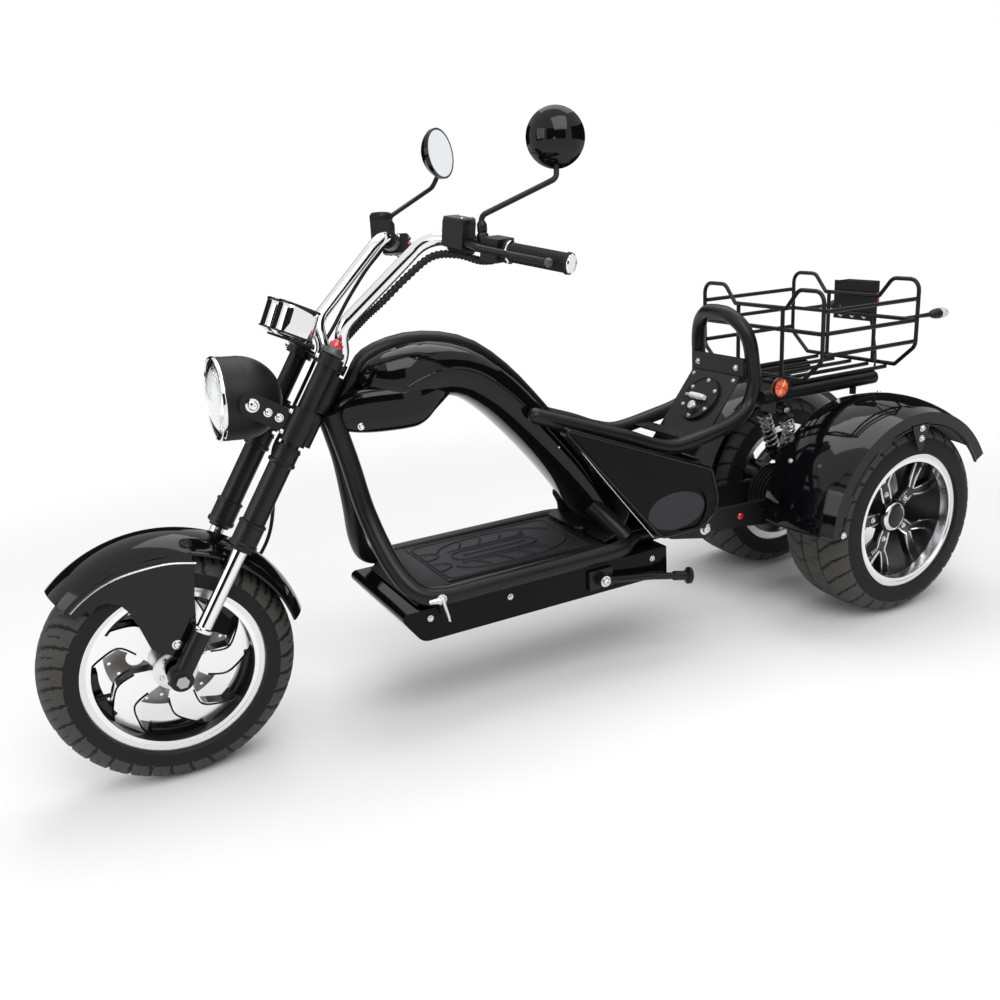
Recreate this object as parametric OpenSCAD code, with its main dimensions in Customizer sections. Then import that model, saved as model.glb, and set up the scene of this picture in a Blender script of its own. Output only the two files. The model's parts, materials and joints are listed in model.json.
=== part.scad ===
// Electric chopper trike: one steered front wheel, two wide rear wheels, deck and open seat well.
// Built in vehicle coordinates, X forward from the rear axle, Y to the left, Z up from the floor,
// and moved at the end so that the origin is on the floor under the middle of its length.

/* [Wheels] */
// Front axle to rear axle
wheelbase = 1650; // [1550:5:1750]
// Centre to centre of the two rear tyres
rear_track = 440; // [430:5:500]
// Outside diameter of the front tyre
front_tyre_d = 460; // [440:2:470]
// Section width of the front tyre
front_tyre_w = 122; // [110:2:124]
// Outside diameter of the rear tyres
rear_tyre_d = 476; // [450:2:490]
// Section width of the rear tyres
rear_tyre_w = 206; // [196:2:216]
// Outside diameter of the rim flanges
flange_d = 330; // [320:2:340]
// Spokes in each wheel
spoke_count = 5; // [4:1:7]
// Outside diameter of the front brake disc
disc_d = 226; // [200:2:240]

/* [Front end] */
// Fork angle back from the vertical, in degrees
rake = 33.5; // [30:0.5:36]
// Centre to centre of the fork legs
fork_span = 176; // [168:2:200]
// Diameter of the bright lower fork tubes
stanchion_d = 28; // [26:1:34]
// Diameter of the black fork sleeves
sleeve_d = 42; // [40:1:48]
// Diameter of the fork tubes between the clamps
upper_tube_d = 34; // [30:1:38]
// Distance from the front axle to the top of the fork, along the leg
fork_l = 652; // [620:2:690]
// Distance of the steering axis behind the fork legs
clamp_offset = 46; // [40:1:60]
// Diameter of the headlight
headlight_d = 152; // [130:2:160]

/* [Handlebar] */
// Height of the bar above the top of the fork
bar_rise = 192; // [160:2:220]
// Grip end to grip end
bar_w = 740; // [680:5:800]
// Diameter of the bright risers
riser_d = 25; // [22:1:30]
// Diameter of the grips
grip_d = 34; // [30:1:38]
// Diameter of a mirror
mirror_d = 104; // [90:2:120]

/* [Deck and seat] */
// Height of the middle of the deck tubes
deck_z = 284; // [270:2:300]
// Centre to centre of the deck tubes
deck_w = 304; // [280:2:330]
// Diameter of the deck tubes
deck_tube_d = 38; // [34:1:42]
// Height of the battery box
box_h = 68; // [56:2:80]
// Centre to centre of the seat rails
seat_w = 240; // [230:2:260]
// Diameter of the seat rails and the back loop
rail_d = 34; // [30:1:38]
// Lowest bend of the seat rails above the deck tubes
rail_rise = 191; // [180:2:210]
// Top of the back loop above the rack tubes
loop_rise = 210; // [190:2:240]

/* [Rear rack] */
// Crown of the rear fenders above the tread
fender_clear = 54; // [48:2:80]
// Basket width over the corner posts
basket_w = 422; // [400:2:440]
// Basket length over the corner posts
basket_l = 305; // [280:5:340]
// Basket floor to top rail
basket_h = 172; // [150:2:200]
// Diameter of the basket wire
wire_d = 10; // [8:1:12]

/* [Hidden] */
// Gap between fitted faces
gap = 0.3;
// Rings in each bend of a pipe
bend_steps = 5;
$fn = 48;

front_r = front_tyre_d/2;
rear_r = rear_tyre_d/2;
flange_r = flange_d/2;
// Height of a rim flange over the bead seat, its thickness, and the wall of the barrel
flange_h = 13;
flange_t = 8;
barrel_t = 7;
seat_r = flange_r - flange_h;
front_rim_w = 92;
rear_rim_w = 186;

// Reach of the rear turn signals behind the rear axle
lamp_reach = 262;
x_mid = (wheelbase + front_r - lamp_reach)/2;

// Unit vectors along the fork and square to it, forward
leg_u = [-sin(rake), 0, cos(rake)];
leg_n = [cos(rake), 0, sin(rake)];
front_c = [wheelbase, 0, front_r];
function on_leg(s, side = 0) = front_c + s*leg_u + [0, side*fork_span/2, 0];
function on_stem(s) = front_c + s*leg_u - clamp_offset*leg_n;

function unit(v) = v/norm(v);
function basis(z) = let(x = unit(cross(abs(z[2]) < 0.95 ? [0, 0, 1] : [0, 1, 0], z))) [x, cross(z, x), z];
function frame_of(x, y, z, p) =
    [[x[0], y[0], z[0], p[0]], [x[1], y[1], z[1], p[1]], [x[2], y[2], z[2], p[2]]];

// Puts children at p with their Z along d
module aim(p, d) {
    b = basis(unit(d));
    multmatrix(frame_of(b[0], b[1], b[2], p)) children();
}

// Puts children at p with Z along the fork leg and X square to it, forward
module fork_frame(p) multmatrix(frame_of(leg_n, [0, 1, 0], leg_u, p)) children();

// Puts children at p with their Z along the vehicle's left, X forward and Y down
module axle_frame(p) translate(p) rotate([-90, 0, 0]) children();

// Puts children drawn in X and Z at p, extruded to both sides along Y
module side_frame(p, w) translate(p) rotate([90, 0, 0]) linear_extrude(w, center = true) children();

module rod(a, b, r) aim(a, b - a) cylinder(h = norm(b - a), r = r);

module mirrored() {
    children();
    mirror([0, 1, 0]) children();
}

// Solid through rings of points, each ring a closed loop of the same length, ends capped flat
module skin(rings) {
    n = len(rings[0]);
    m = len(rings);
    polyhedron(points = [for (ring = rings) each ring],
        faces = concat([[for (k = [0:n-1]) k]], [[for (k = [n-1:-1:0]) (m-1)*n + k]],
            [for (i = [0:m-2], k = [0:n-1]) each [
                [i*n + k, (i+1)*n + k, i*n + (k+1)%n],
                [i*n + (k+1)%n, (i+1)*n + k, (i+1)*n + (k+1)%n]]]));
}

// Points round one bend of a pipe at corner b, between the runs a-b and b-c
function bend_points(a, b, c, bend) =
    let(u = unit(b - a), v = unit(c - b), turn = acos(u*v), n = unit(cross(u, v)),
        start = b - u*bend*tan(turn/2), centre = start + cross(n, u)*bend,
        ex = unit(start - centre), ey = cross(n, ex))
    [for (k = [0:bend_steps]) let(t = turn*k/bend_steps) centre + bend*(cos(t)*ex + sin(t)*ey)];

// Path through points with every inner corner rounded
function rounded(points, bend) = let(last = len(points) - 1) concat([points[0]],
    [for (i = [1:last-1]) each bend_points(points[i-1], points[i], points[i+1], bend)], [points[last]]);

function tangent(path, i) = unit(path[min(i+1, len(path)-1)] - path[max(i-1, 0)]);

// A side direction for each point of a path, carried along it without twist
function sides_of(path, i = 0, from = [0, 1, 0.01]) = i == len(path) ? []
    : let(t = tangent(path, i), q = unit(from - (from*t)*t)) concat([q], sides_of(path, i+1, q));

// Round pipe along points, with a bend of the given radius at each inner point
module pipe(points, r, bend, n = 12) {
    path = rounded(points, bend);
    side = sides_of(path);
    skin([for (i = [0:len(path)-1]) let(t = tangent(path, i), w = cross(t, side[i]))
        [for (k = [0:n-1]) path[i] + r*(cos(360*k/n)*side[i] + sin(360*k/n)*w)]]);
}

// Half section of a tyre from the middle of its tread to the wall's foot; p sets how square it is
tyre_steps = 7;
function tyre_half(r, w, p) = [for (k = [0:tyre_steps]) let(a = 90*k/tyre_steps, foot = flange_r + gap)
    [foot + (r - foot)*pow(cos(a), 2/p), w/2*pow(sin(a), 2/p)]];

// Tyre about its own Z, its bead between the rim's flanges
module tyre(r, w, rim_w, p) {
    half = tyre_half(r, w, p);
    bead = rim_w/2 - flange_t - gap;
    rotate_extrude() polygon(concat([[seat_r + gap, -bead], [flange_r + gap, -bead]],
        [for (k = [tyre_steps:-1:1]) [half[k][0], -half[k][1]]], half,
        [[flange_r + gap, bead], [seat_r + gap, bead]]));
}

// Rim barrel with two flanges, about its own Z
module barrel(rim_w) rotate_extrude() union() {
    translate([seat_r - barrel_t, -rim_w/2]) square([barrel_t, rim_w]);
    for (side = [0, 1]) mirror([0, side])
        translate([seat_r - 1, rim_w/2 - flange_t]) square([flange_h + 1, flange_t]);
}

// Point at radius r and angle a
function polar(r, a) = [r*cos(a), r*sin(a)];

// Blades from the hub to the barrel; table columns are radius, first edge angle, second edge angle
module spokes(table, thick) for (i = [0:spoke_count-1]) rotate(i*360/spoke_count)
    translate([0, 0, -thick/2]) linear_extrude(thick) polygon(concat(
        [for (row = table) polar(row[0], row[1])],
        [for (k = [len(table)-1:-1:0]) polar(table[k][0], table[k][2])]));

front_axle_r = 7.5;
front_hub_r = 40;
front_hub_w = 84;
front_spoke_t = 32;
blade_end = seat_r - barrel_t + 1;
front_blade = [[front_hub_r - 6, 4, 60], [70, 0, 42], [104, 9, 40], [130, 25, 54], [blade_end, 34, 62]];
// Round shoulder of the front tyre and square one of the rear tyres
front_shoulder = 2.4;
rear_shoulder = 3.4;

module front_tyre() color("#1c1c1d") axle_frame(front_c)
    tyre(front_r, front_tyre_w, front_rim_w, front_shoulder);

disc_y = -(front_hub_w/2 + 18);
disc_t = 4;
disc_carrier_r = 30;
module front_rim() color("#d9d9db") axle_frame(front_c) difference() {
    union() {
        barrel(front_rim_w);
        spokes(front_blade, front_spoke_t);
        cylinder(h = front_hub_w, r = front_hub_r, center = true);
        mirror([0, 0, 1]) cylinder(h = -disc_y - disc_t/2 - gap, r = disc_carrier_r);
    }
    cylinder(h = 4*front_hub_w, r = front_axle_r + gap, center = true);
}

// Brake disc with windows round the carrier and two rows of holes
disc_window_r = 17;
disc_web = 10;
disc_hole_r = 3.4;
disc_hole_count = 24;
disc_rows = [9, 19];
module front_disc() color("#8b8784") axle_frame(front_c + [0, disc_y, 0]) difference() {
    cylinder(h = disc_t, r = disc_d/2, center = true);
    cylinder(h = disc_t + 1, r = front_axle_r + gap, center = true);
    for (i = [0:spoke_count-1]) rotate(i*360/spoke_count)
        translate([disc_carrier_r + disc_web + disc_window_r, 0, 0])
            cylinder(h = disc_t + 1, r = disc_window_r, center = true);
    for (i = [0:disc_hole_count-1]) rotate(i*360/disc_hole_count)
        translate([disc_d/2 - disc_rows[i%2], 0, 0])
            cylinder(h = disc_t + 1, r = disc_hole_r, center = true, $fn = 16);
}

// Fork stations along the leg, from the axle
lug_top = 96;
lug_r = 17;
lug_eye_r = 21;
lug_eye_w = 2*lug_r - 2;
socket_l = 40;
top_clamp_h = 20;
top_clamp_s = fork_l - top_clamp_h/2 - 4;
clamp_h = 66;
// From the top of the fork down to the middle of the lower clamp
clamp_down = 144;
clamp_s = fork_l - clamp_down;
sleeve_top = clamp_s - clamp_h/2 - 7;
sleeve_l = 198;
sleeve_bottom = sleeve_top - sleeve_l;
sleeve_bore_l = 160;
// Rings round the sleeve: station from its lower end, height, added radius
sleeve_rings = [[-2, 44, 3], [sleeve_l - 36, 36, 2]];
fork_cap_h = 12;

axle_nut_r = 12;
axle_nut_t = 8;
module front_axle() color("silver") axle_frame(front_c) union() {
    cylinder(h = fork_span + 2*(lug_r + gap), r = front_axle_r, center = true);
    for (side = [-1, 1]) translate([0, 0, side*(fork_span + 2*(lug_r + gap) + axle_nut_t)/2])
        cylinder(h = axle_nut_t, r = axle_nut_r, center = true, $fn = 6);
}

module fork_tubes() color("#232323") for (side = [-1, 1]) fork_frame(on_leg(0, side)) difference() {
    union() {
        translate([0, 0, sleeve_bottom]) cylinder(h = sleeve_l, r = sleeve_d/2);
        for (ring = sleeve_rings) translate([0, 0, sleeve_bottom + ring[0]])
            cylinder(h = ring[1], r = sleeve_d/2 + ring[2]);
        translate([0, 0, sleeve_top]) cylinder(h = fork_l - sleeve_top, r = upper_tube_d/2);
        translate([0, 0, fork_l]) cylinder(h = fork_cap_h, r = upper_tube_d*0.3, $fn = 6);
    }
    translate([0, 0, sleeve_bottom - 3]) cylinder(h = sleeve_bore_l, r = stanchion_d/2 + gap);
}

module fork_stanchions() color("#e4e4e6") for (side = [-1, 1]) fork_frame(on_leg(0, side))
    translate([0, 0, lug_top - socket_l])
        cylinder(h = sleeve_bottom + sleeve_bore_l - 4 - lug_top + socket_l, r = stanchion_d/2);

module fork_lugs() color("#1b1b1b") for (side = [-1, 1]) fork_frame(on_leg(0, side)) difference() {
    union() {
        translate([0, 0, -lug_r]) cylinder(h = lug_top + lug_r, r = lug_r);
        rotate([90, 0, 0]) cylinder(h = lug_eye_w, r = lug_eye_r, center = true);
    }
    translate([0, 0, lug_top - socket_l - gap]) cylinder(h = 2*socket_l, r = stanchion_d/2 + gap);
    rotate([90, 0, 0]) cylinder(h = 2*lug_eye_w, r = front_axle_r + gap, center = true);
}

stem_r = 14;
head_r = 26;
head_low = clamp_s + clamp_h/2 + 4;
head_high = top_clamp_s - top_clamp_h/2 - 5;
lobe_t = 8;
web_drop = 6;
web_h = top_clamp_h - 2*web_drop;

// Plate of a fork clamp in the fork frame: lobes round the legs joined to the stem by a web
module clamp_plate(h) difference() {
    union() {
        for (side = [-1, 1]) translate([0, side*fork_span/2, 0])
            cylinder(h = h, r = upper_tube_d/2 + lobe_t, center = true);
        translate([-clamp_offset, 0, 0]) cylinder(h = h, r = stem_r + lobe_t - 1, center = true);
        translate([-clamp_offset/2, 0, 0])
            cube([clamp_offset*0.7, fork_span - upper_tube_d, h - 2*web_drop], center = true);
    }
    for (side = [-1, 1]) translate([0, side*fork_span/2, 0])
        cylinder(h = h + 2, r = upper_tube_d/2 + gap, center = true);
}

// Ears from the lower clamp forward to the headlight
ear_t = 8;
ear_r = 22;
ear_reach = 92;
// Two gauge pods side by side over a bracket on the top clamp
pod_tilt = 26;
pod_y = 38;
pod_l = 86;
pod_w = 60;
pod_h = 60;
pod_edge = 18;
pod_wall = 3;
pod_lift = 9;
pod_over = 30;
pod_place = [62, 0, 32];
pod_c = on_leg(fork_l + pod_over) + pod_place;
pod_plate_t = 4;
pod_arm_w = 18;
module pod_frame() translate(pod_c) rotate([0, -pod_tilt, 0]) children();
// X and Z of a point under the pods, from its place in their frame
function under_pods(x) = let(z = -pod_h/2 - gap - pod_plate_t/2)
    [pod_c[0] + x*cos(pod_tilt) - z*sin(pod_tilt), pod_c[2] + x*sin(pod_tilt) + z*cos(pod_tilt)];
function on_web(share) = let(p = on_leg(top_clamp_s) - share*clamp_offset*leg_n) [p[0], p[2]];

module triple_clamps() color("#202020") union() {
    fork_frame(on_leg(clamp_s)) clamp_plate(clamp_h);
    fork_frame(on_leg(top_clamp_s)) clamp_plate(top_clamp_h);
    fork_frame(on_stem(clamp_s)) cylinder(h = top_clamp_s - clamp_s, r = stem_r);
    mirrored() fork_frame(on_leg(clamp_s, 1)) {
        translate([upper_tube_d/2 + 1, -ear_t/2, -ear_r])
            cube([ear_reach - upper_tube_d/2 - 1, ear_t, 2*ear_r]);
        translate([ear_reach, ear_t/2, 0]) rotate([90, 0, 0]) cylinder(h = ear_t, r = ear_r);
    }
    pod_frame() translate([-pod_l/2, -pod_y - pod_w/4, -pod_h/2 - gap - pod_plate_t])
        cube([pod_l*0.7, 2*pod_y + pod_w/2, pod_plate_t]);
    side_frame([0, 0, 0], pod_arm_w)
        polygon([on_web(0.75), on_web(0.25), under_pods(0), under_pods(-pod_l/2 + 2)]);
}

module pod_block(inset, h) hull() for (y = [-1, 1], x = [-1, 1])
    translate([x*(pod_l/2 - pod_edge), y*(pod_w/2 - pod_edge), 0])
        cylinder(h = h, r = pod_edge - inset, center = true, $fn = 24);
module gauge_pods() color("#e9e9ea") mirrored() pod_frame() translate([0, pod_y, 0]) difference() {
    pod_block(0, pod_h);
    translate([0, 0, pod_h - pod_lift]) pod_block(pod_wall, pod_h);
}

// Caliper behind the right leg, straddling the disc, with an arm to the leg
caliper_in = 8.5;
caliper_out = 14;
caliper_slot = 5;
caliper_l = 44;
caliper_h = 70;
caliper_x = 96;
caliper_z = 64;
caliper_arm_z = 84;
caliper_arm_h = 30;
module brake_caliper() color("#1d1d1d") fork_frame(front_c + [0, disc_y, 0]) difference() {
    union() {
        translate([-caliper_x, -caliper_out, caliper_z])
            cube([caliper_l, caliper_out + caliper_in, caliper_h]);
        translate([caliper_l - caliper_x - 8, -disc_y - fork_span/2, caliper_arm_z])
            cube([caliper_x - caliper_l + 8 - lug_r - gap, fork_span/2 + disc_y - caliper_slot,
                caliper_arm_h]);
    }
    translate([-2*caliper_x, -caliper_slot, 0]) cube([3*caliper_x, 2*caliper_slot, disc_d/2 + 3]);
}

// Front fender: crowned gutter concentric with the wheel, with a stay plate down each side to the lug
fender_r = front_r + 30;
fender_w = front_tyre_w + 17;
fender_t = 3;
fender_crown = 100;
fender_skirt = 46;
fender_from = 46;
fender_sweep = 122;
stay_boss_s = 60;
stay_boss_r = 9;
// Stay outline: X and Z from the axle
stay_top = fender_r - 34;
stay = [[-62, stay_top], [-44, 60], [-30, 38], [-8, 30], [36, 60], [52, 120], [74, stay_top]];
module fender_profile() difference() {
    intersection() {
        translate([fender_r - fender_crown, 0]) circle(fender_crown, $fn = 96);
        translate([fender_r - fender_skirt, -fender_w/2]) square([2*fender_skirt, fender_w]);
    }
    translate([fender_r - fender_crown, 0]) circle(fender_crown - fender_t, $fn = 96);
    translate([fender_r - fender_skirt - 1, fender_t - fender_w/2]) square([20, fender_w - 2*fender_t]);
}

module front_fender() color("#101011") union() {
    translate(front_c) rotate([90, 0, 0]) rotate(fender_from)
        rotate_extrude(angle = fender_sweep) fender_profile();
    mirrored() side_frame(front_c + [0, (fender_w - fender_t)/2, 0], fender_t) polygon(stay);
    mirrored() rod(on_leg(stay_boss_s) + [0, fender_w/2 - 1, 0],
        on_leg(stay_boss_s, 1) - [0, lug_r + gap, 0], stay_boss_r);
}

headlight_c = on_leg(clamp_s) + ear_reach*leg_n;
headlight_tilt = 4;
headlight_rim_l = 40;
headlight_wall = 3;
headlight_boss_r = 11;
lens_seat = 24;
lens_crown = 118;
module headlight_frame() translate(headlight_c) rotate([0, 90 - headlight_tilt, 0]) children();

// Round bowl behind a short cylinder, with a boss to each ear
module headlight_bucket() color("#161616") headlight_frame() union() {
    rotate_extrude() difference() {
        union() {
            square([headlight_d/2, headlight_rim_l]);
            intersection() {
                circle(headlight_d/2, $fn = 96);
                translate([0, -headlight_d]) square([headlight_d, headlight_d]);
            }
        }
        translate([0, lens_seat]) square([headlight_d/2 - headlight_wall, headlight_rim_l]);
        translate([0, 6]) square([headlight_d/2 - 4*headlight_wall, headlight_rim_l]);
    }
    mirrored() translate([0, headlight_d/2 - headlight_wall, 0]) rotate([-90, 0, 0])
        cylinder(h = (fork_span - headlight_d - ear_t)/2 + headlight_wall - gap, r = headlight_boss_r);
}

module headlight_lens() color("#e8eef2") headlight_frame() rotate_extrude() intersection() {
    translate([0, headlight_rim_l + 18 - lens_crown]) circle(lens_crown, $fn = 96);
    translate([0, lens_seat + gap]) square([headlight_d/2 - headlight_wall - gap, headlight_d]);
}

// Risers stand on the top clamp, go up and back, and bend out into the bar
riser_y = 56;
riser_back = 30;
riser_bend = 30;
bar_back = 178;
// Run of the outer bar to the side, and the risers' ends in it
bar_run = 254;
bar_corner_y = bar_w/2 - bar_run;
bar_l = 40;
bar_r = 11;
bar_sweep = 146;
bar_drop = 52;
grip_l = 128;
riser_foot = on_leg(top_clamp_s) + (web_h/2 + gap)*leg_u - riser_back*leg_n + [0, riser_y, 0];
riser_knee_h = 20;
riser_flare = 0.28;
riser_knee = riser_foot + riser_knee_h*leg_u;
riser_waist = riser_knee + [5, riser_flare*(bar_corner_y - riser_y), 50];
bar_corner = [riser_foot[0] - bar_back, bar_corner_y, on_leg(fork_l)[2] + bar_rise];
bar_tip = [bar_corner[0] - bar_sweep, bar_w/2, bar_corner[2] - bar_drop];
bar_d = unit(bar_tip - bar_corner);
function on_bar(s) = bar_tip - s*bar_d;

module risers() color("#eeeeef") mirrored()
    pipe([riser_foot, riser_knee, riser_waist, bar_corner, bar_corner + bar_l*bar_d], riser_d/2, riser_bend);

module handlebar() color("#1a1a1a") mirrored()
    rod(bar_corner + (bar_l + gap)*bar_d, on_bar(grip_l + gap), bar_r);

// Grip with a ring at its tip and a collar at its root: station, height, added radius
grip_rings = [[0, 8, 2], [grip_l - 6, 6, 3]];
module grips() color("#171717") mirrored() aim(on_bar(0), -bar_d) union() {
    cylinder(h = grip_l, r = grip_d/2);
    for (ring = grip_rings) translate([0, 0, ring[0]]) cylinder(h = ring[1], r = grip_d/2 + ring[2]);
}

// Bar frame: Z along the bar to its middle, X forward, Y up; stations from the grip's end
pod_s = grip_l + 24;
mirror_s = grip_l + 50;
master_s = grip_l + 96;
module bar_frame(s) aim(on_bar(s), -bar_d) children();
bar_clamp_t = 9;
master_w = 44;
master_front = 32;
master_back = 8;
master_drop = 6;
lever_r = 6;
lever_bend = 30;
// Lever in the bar frame of the master cylinder: forward, up, along the bar
lever = [[master_front - 8, 4, -master_w/2 - lever_r/2], [master_front + 8, 4, -60],
    [master_front + 6, 2, -124], [master_front - 4, 0, -196]];
module brake_levers() color("#1e1e1e") mirrored() bar_frame(master_s) pipe(lever, lever_r, lever_bend, 10);

module master_cylinders() color("#1e1e1e") mirrored() bar_frame(master_s) difference() {
    union() {
        cylinder(h = master_w - 4, r = bar_r + bar_clamp_t, center = true);
        translate([-master_back, -master_drop, -master_w/2])
            cube([master_front + master_back, master_w, master_w]);
    }
    cylinder(h = 2*master_w, r = bar_r + gap, center = true);
}

switch_size = [54, 40, 34];
module switch_pods() color("#151515") mirrored() bar_frame(pod_s) difference() {
    translate([-4, 0, 0]) cube(switch_size, center = true);
    cylinder(h = 2*switch_size[2], r = bar_r + gap, center = true);
}

// Mirrors: domed head on a bent stem, its glass to the rear
mirror_reach = [-138, 34, 174];
mirror_c = on_bar(mirror_s) + mirror_reach;
mirror_axis = unit([-0.55, -0.80, 0.10]);
mirror_rim = 8;
mirror_dome = 31;
mirror_lip = 4;
glass_t = 1.5;
stem_wire_r = 5;
dome_r = (pow(mirror_d/2, 2) + pow(mirror_dome, 2))/(2*mirror_dome);
mirror_base = on_bar(mirror_s) + [0, 0, bar_r + gap + 1];
// Centre of the dome's sphere, and the way from it to the stem's seat low on the dome
dome_c = mirror_c + (dome_r - mirror_dome)*mirror_axis;
seat_d = unit(-0.6*mirror_axis - [0, 0, 0.8]);
stem_neck = 26;
stem_foot = 40;
stem_bend = 14;
module mirror_stems() color("#151515") mirrored() pipe([mirror_base, mirror_base + [0, 0, stem_foot],
    dome_c + (dome_r + stem_neck)*seat_d, dome_c + (dome_r + gap)*seat_d], stem_wire_r, stem_bend, 10);

module mirrors() color("#151515") mirrored() aim(mirror_c, mirror_axis) rotate_extrude() difference() {
    union() {
        square([mirror_d/2, mirror_rim]);
        intersection() {
            translate([0, dome_r - mirror_dome]) circle(dome_r, $fn = 64);
            translate([0, -mirror_dome]) square([mirror_d/2, mirror_dome + 1]);
        }
    }
    translate([-1, mirror_rim - glass_t - 2*gap]) square([mirror_d/2 - mirror_lip + 1, mirror_rim]);
}

module mirror_glass() color("#dfe6ea") mirrored()
    aim(mirror_c + (mirror_rim - glass_t - gap)*mirror_axis, mirror_axis)
        cylinder(h = glass_t, r = mirror_d/2 - mirror_lip - gap);

// Main frame: paired tubes from the head tube down to the deck edges and back to the swing arm's pivot
down_r = deck_tube_d/2;
deck_y = deck_w/2;
// Front axle to the front of the deck
deck_behind = 485;
deck_front_x = wheelbase - deck_behind;
tube_bend = 50;
tube_split = down_r + 1;
pivot_x = 470;
pivot_y = 98;
pivot_drop = 13;
pivot_z = deck_z - pivot_drop;
pivot_r = 8;
pivot_run = 30;
deck_rear_x = 730;
// Rear and front of the seat well
well_x0 = 470;
well_x1 = 666;
module head_tube() color("#1b1b1b") fork_frame(on_stem(head_low)) difference() {
    cylinder(h = head_high - head_low, r = head_r);
    translate([0, 0, -1]) cylinder(h = head_high - head_low + 2, r = stem_r + gap);
}

down_start = on_stem(head_low + 26) - sqrt(pow(head_r + down_r + gap, 2) - pow(tube_split, 2))*leg_n;
// Bends of the tubes: X from the head tube's foot, Y, Z from the deck
down_bends = [[14, tube_split + 4, 250], [-12, 50, 140]];
deck_reach = 36;
tuck = 80;
module frame_tubes() color("#1b1b1b") mirrored() pipe(concat([down_start + [0, tube_split, 0]],
    [for (b = down_bends) b + [down_start[0], 0, deck_z]],
    [[deck_front_x + deck_reach, deck_y, deck_z], [deck_rear_x, deck_y, deck_z],
    [deck_rear_x - tuck, pivot_y, deck_z], [pivot_x + pivot_run, pivot_y, deck_z]]), down_r, tube_bend);

// Arch body between the head tube and its foot in front of the seat well.
// Columns: share of the way from head to foot, rise over the straight line, half height, half width
arch = [[0.106, 47, 38, 34], [0.141, 69, 54, 56], [0.189, 93, 62, 72], [0.285, 135, 62, 76],
    [0.391, 169, 57, 76], [0.491, 184, 53, 76], [0.593, 174, 50, 78], [0.680, 151, 48, 80],
    [0.768, 121, 46, 82], [0.858, 86, 45, 84], [0.937, 45, 42, 84], [1, 0, 36, 82]];
// First ring of the backbone stands against the head tube
head_rear = on_stem(head_low + 30) - (head_r + 2*gap)*leg_n;
foot_ahead = 37;
foot_rise = 58;
arch_foot = [well_x1 + foot_ahead, 0, deck_z + foot_rise];
ring_n = 20;
spine_r = 17;
// Rings per row of the table, on a smooth curve through its rows
row_steps = 2;
arch_last = row_steps*(len(arch) - 1);
function curve(a, b, c, d, t) =
    (2*b + t*(c - a) + t*t*(2*a - 5*b + 4*c - d) + t*t*t*(3*b - a - 3*c + d))/2;
function arch_row(i) = let(last = len(arch) - 1, k = min(floor(i/row_steps), last - 1))
    curve(arch[max(k-1, 0)], arch[k], arch[k+1], arch[min(k+2, last)], i/row_steps - k);
function arch_at(i) = let(row = arch_row(i), p = head_rear + row[0]*(arch_foot - head_rear))
    [p[0], p[2] + row[1]];
function arch_normal(i) = let(next = min(i + row_steps, arch_last), before = max(i - row_steps, 0),
    t = unit(arch_at(next) - arch_at(before))) [t[1], -t[0]];
function squircle(a, p) = pow(pow(abs(cos(a)), p) + pow(abs(sin(a)), p), -1/p);
// Section of the arch body: a rounded box with a groove along its top that takes half of the backbone tube
groove_r = spine_r + 2*gap;
groove_drop = 4;
groove_n = 6;
arch_square = 2.6;
function arch_section(h, w) = let(top = h - groove_drop, a0 = atan2(top, groove_r)) concat(
    [for (k = [0:ring_n]) let(a = a0 - k*(180 + 2*a0)/ring_n, s = squircle(a, arch_square))
        k == 0 ? [groove_r, top] : k == ring_n ? [-groove_r, top] : [w*s*cos(a), min(h*s*sin(a), top)]],
    [for (k = [1:groove_n-1]) let(a = 180 + k*180/groove_n) [groove_r*cos(a), top + groove_r*sin(a)]]);
function arch_ring(i) = let(row = arch_row(i), c = arch_at(i), n = arch_normal(i))
    [for (q = arch_section(row[2], row[3])) [c[0] + q[1]*n[0], q[0], c[1] + q[1]*n[1]]];
module arch_body() color("#0c0c0d") skin([for (i = [0:arch_last]) arch_ring(i)]);

function ridge_at(i) = let(c = arch_at(i), n = arch_normal(i), h = arch_row(i)[2] - groove_drop)
    [c[0] + h*n[0], 0, c[1] + h*n[1]];
spine_n = 12;
spine_last = 9*row_steps;
module backbone() color("#161617") skin(concat(
    [[for (k = [0:spine_n-1]) let(a = -360*k/spine_n) head_rear + spine_r*(sin(a)*leg_u + [0, cos(a), 0])]],
    [for (i = [0:spine_last]) let(c = ridge_at(i), n = arch_normal(i)) [for (k = [0:spine_n-1])
        let(a = -360*k/spine_n) c + spine_r*[sin(a)*n[0], cos(a), sin(a)*n[1]]]]));

// Deck between the tubes, with a rubber mat let into it
tray_rear_x = deck_rear_x + 10;
tray_front_x = deck_front_x - 30;
tray_y = deck_y - down_r - gap;
tray_lift = 4;
tray_t = 6;
mat_t = 4;
mat_edge = 16;
module deck_tray() color("#17171a") translate([tray_rear_x, -tray_y, deck_z + tray_lift])
    cube([tray_front_x - tray_rear_x, 2*tray_y, tray_t]);
module deck_mat() color("#26262a")
    translate([tray_rear_x + 2*mat_edge, -tray_y + mat_edge, deck_z + tray_lift + tray_t])
        cube([tray_front_x - tray_rear_x - 3*mat_edge, 2*(tray_y - mat_edge), mat_t]);

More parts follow.
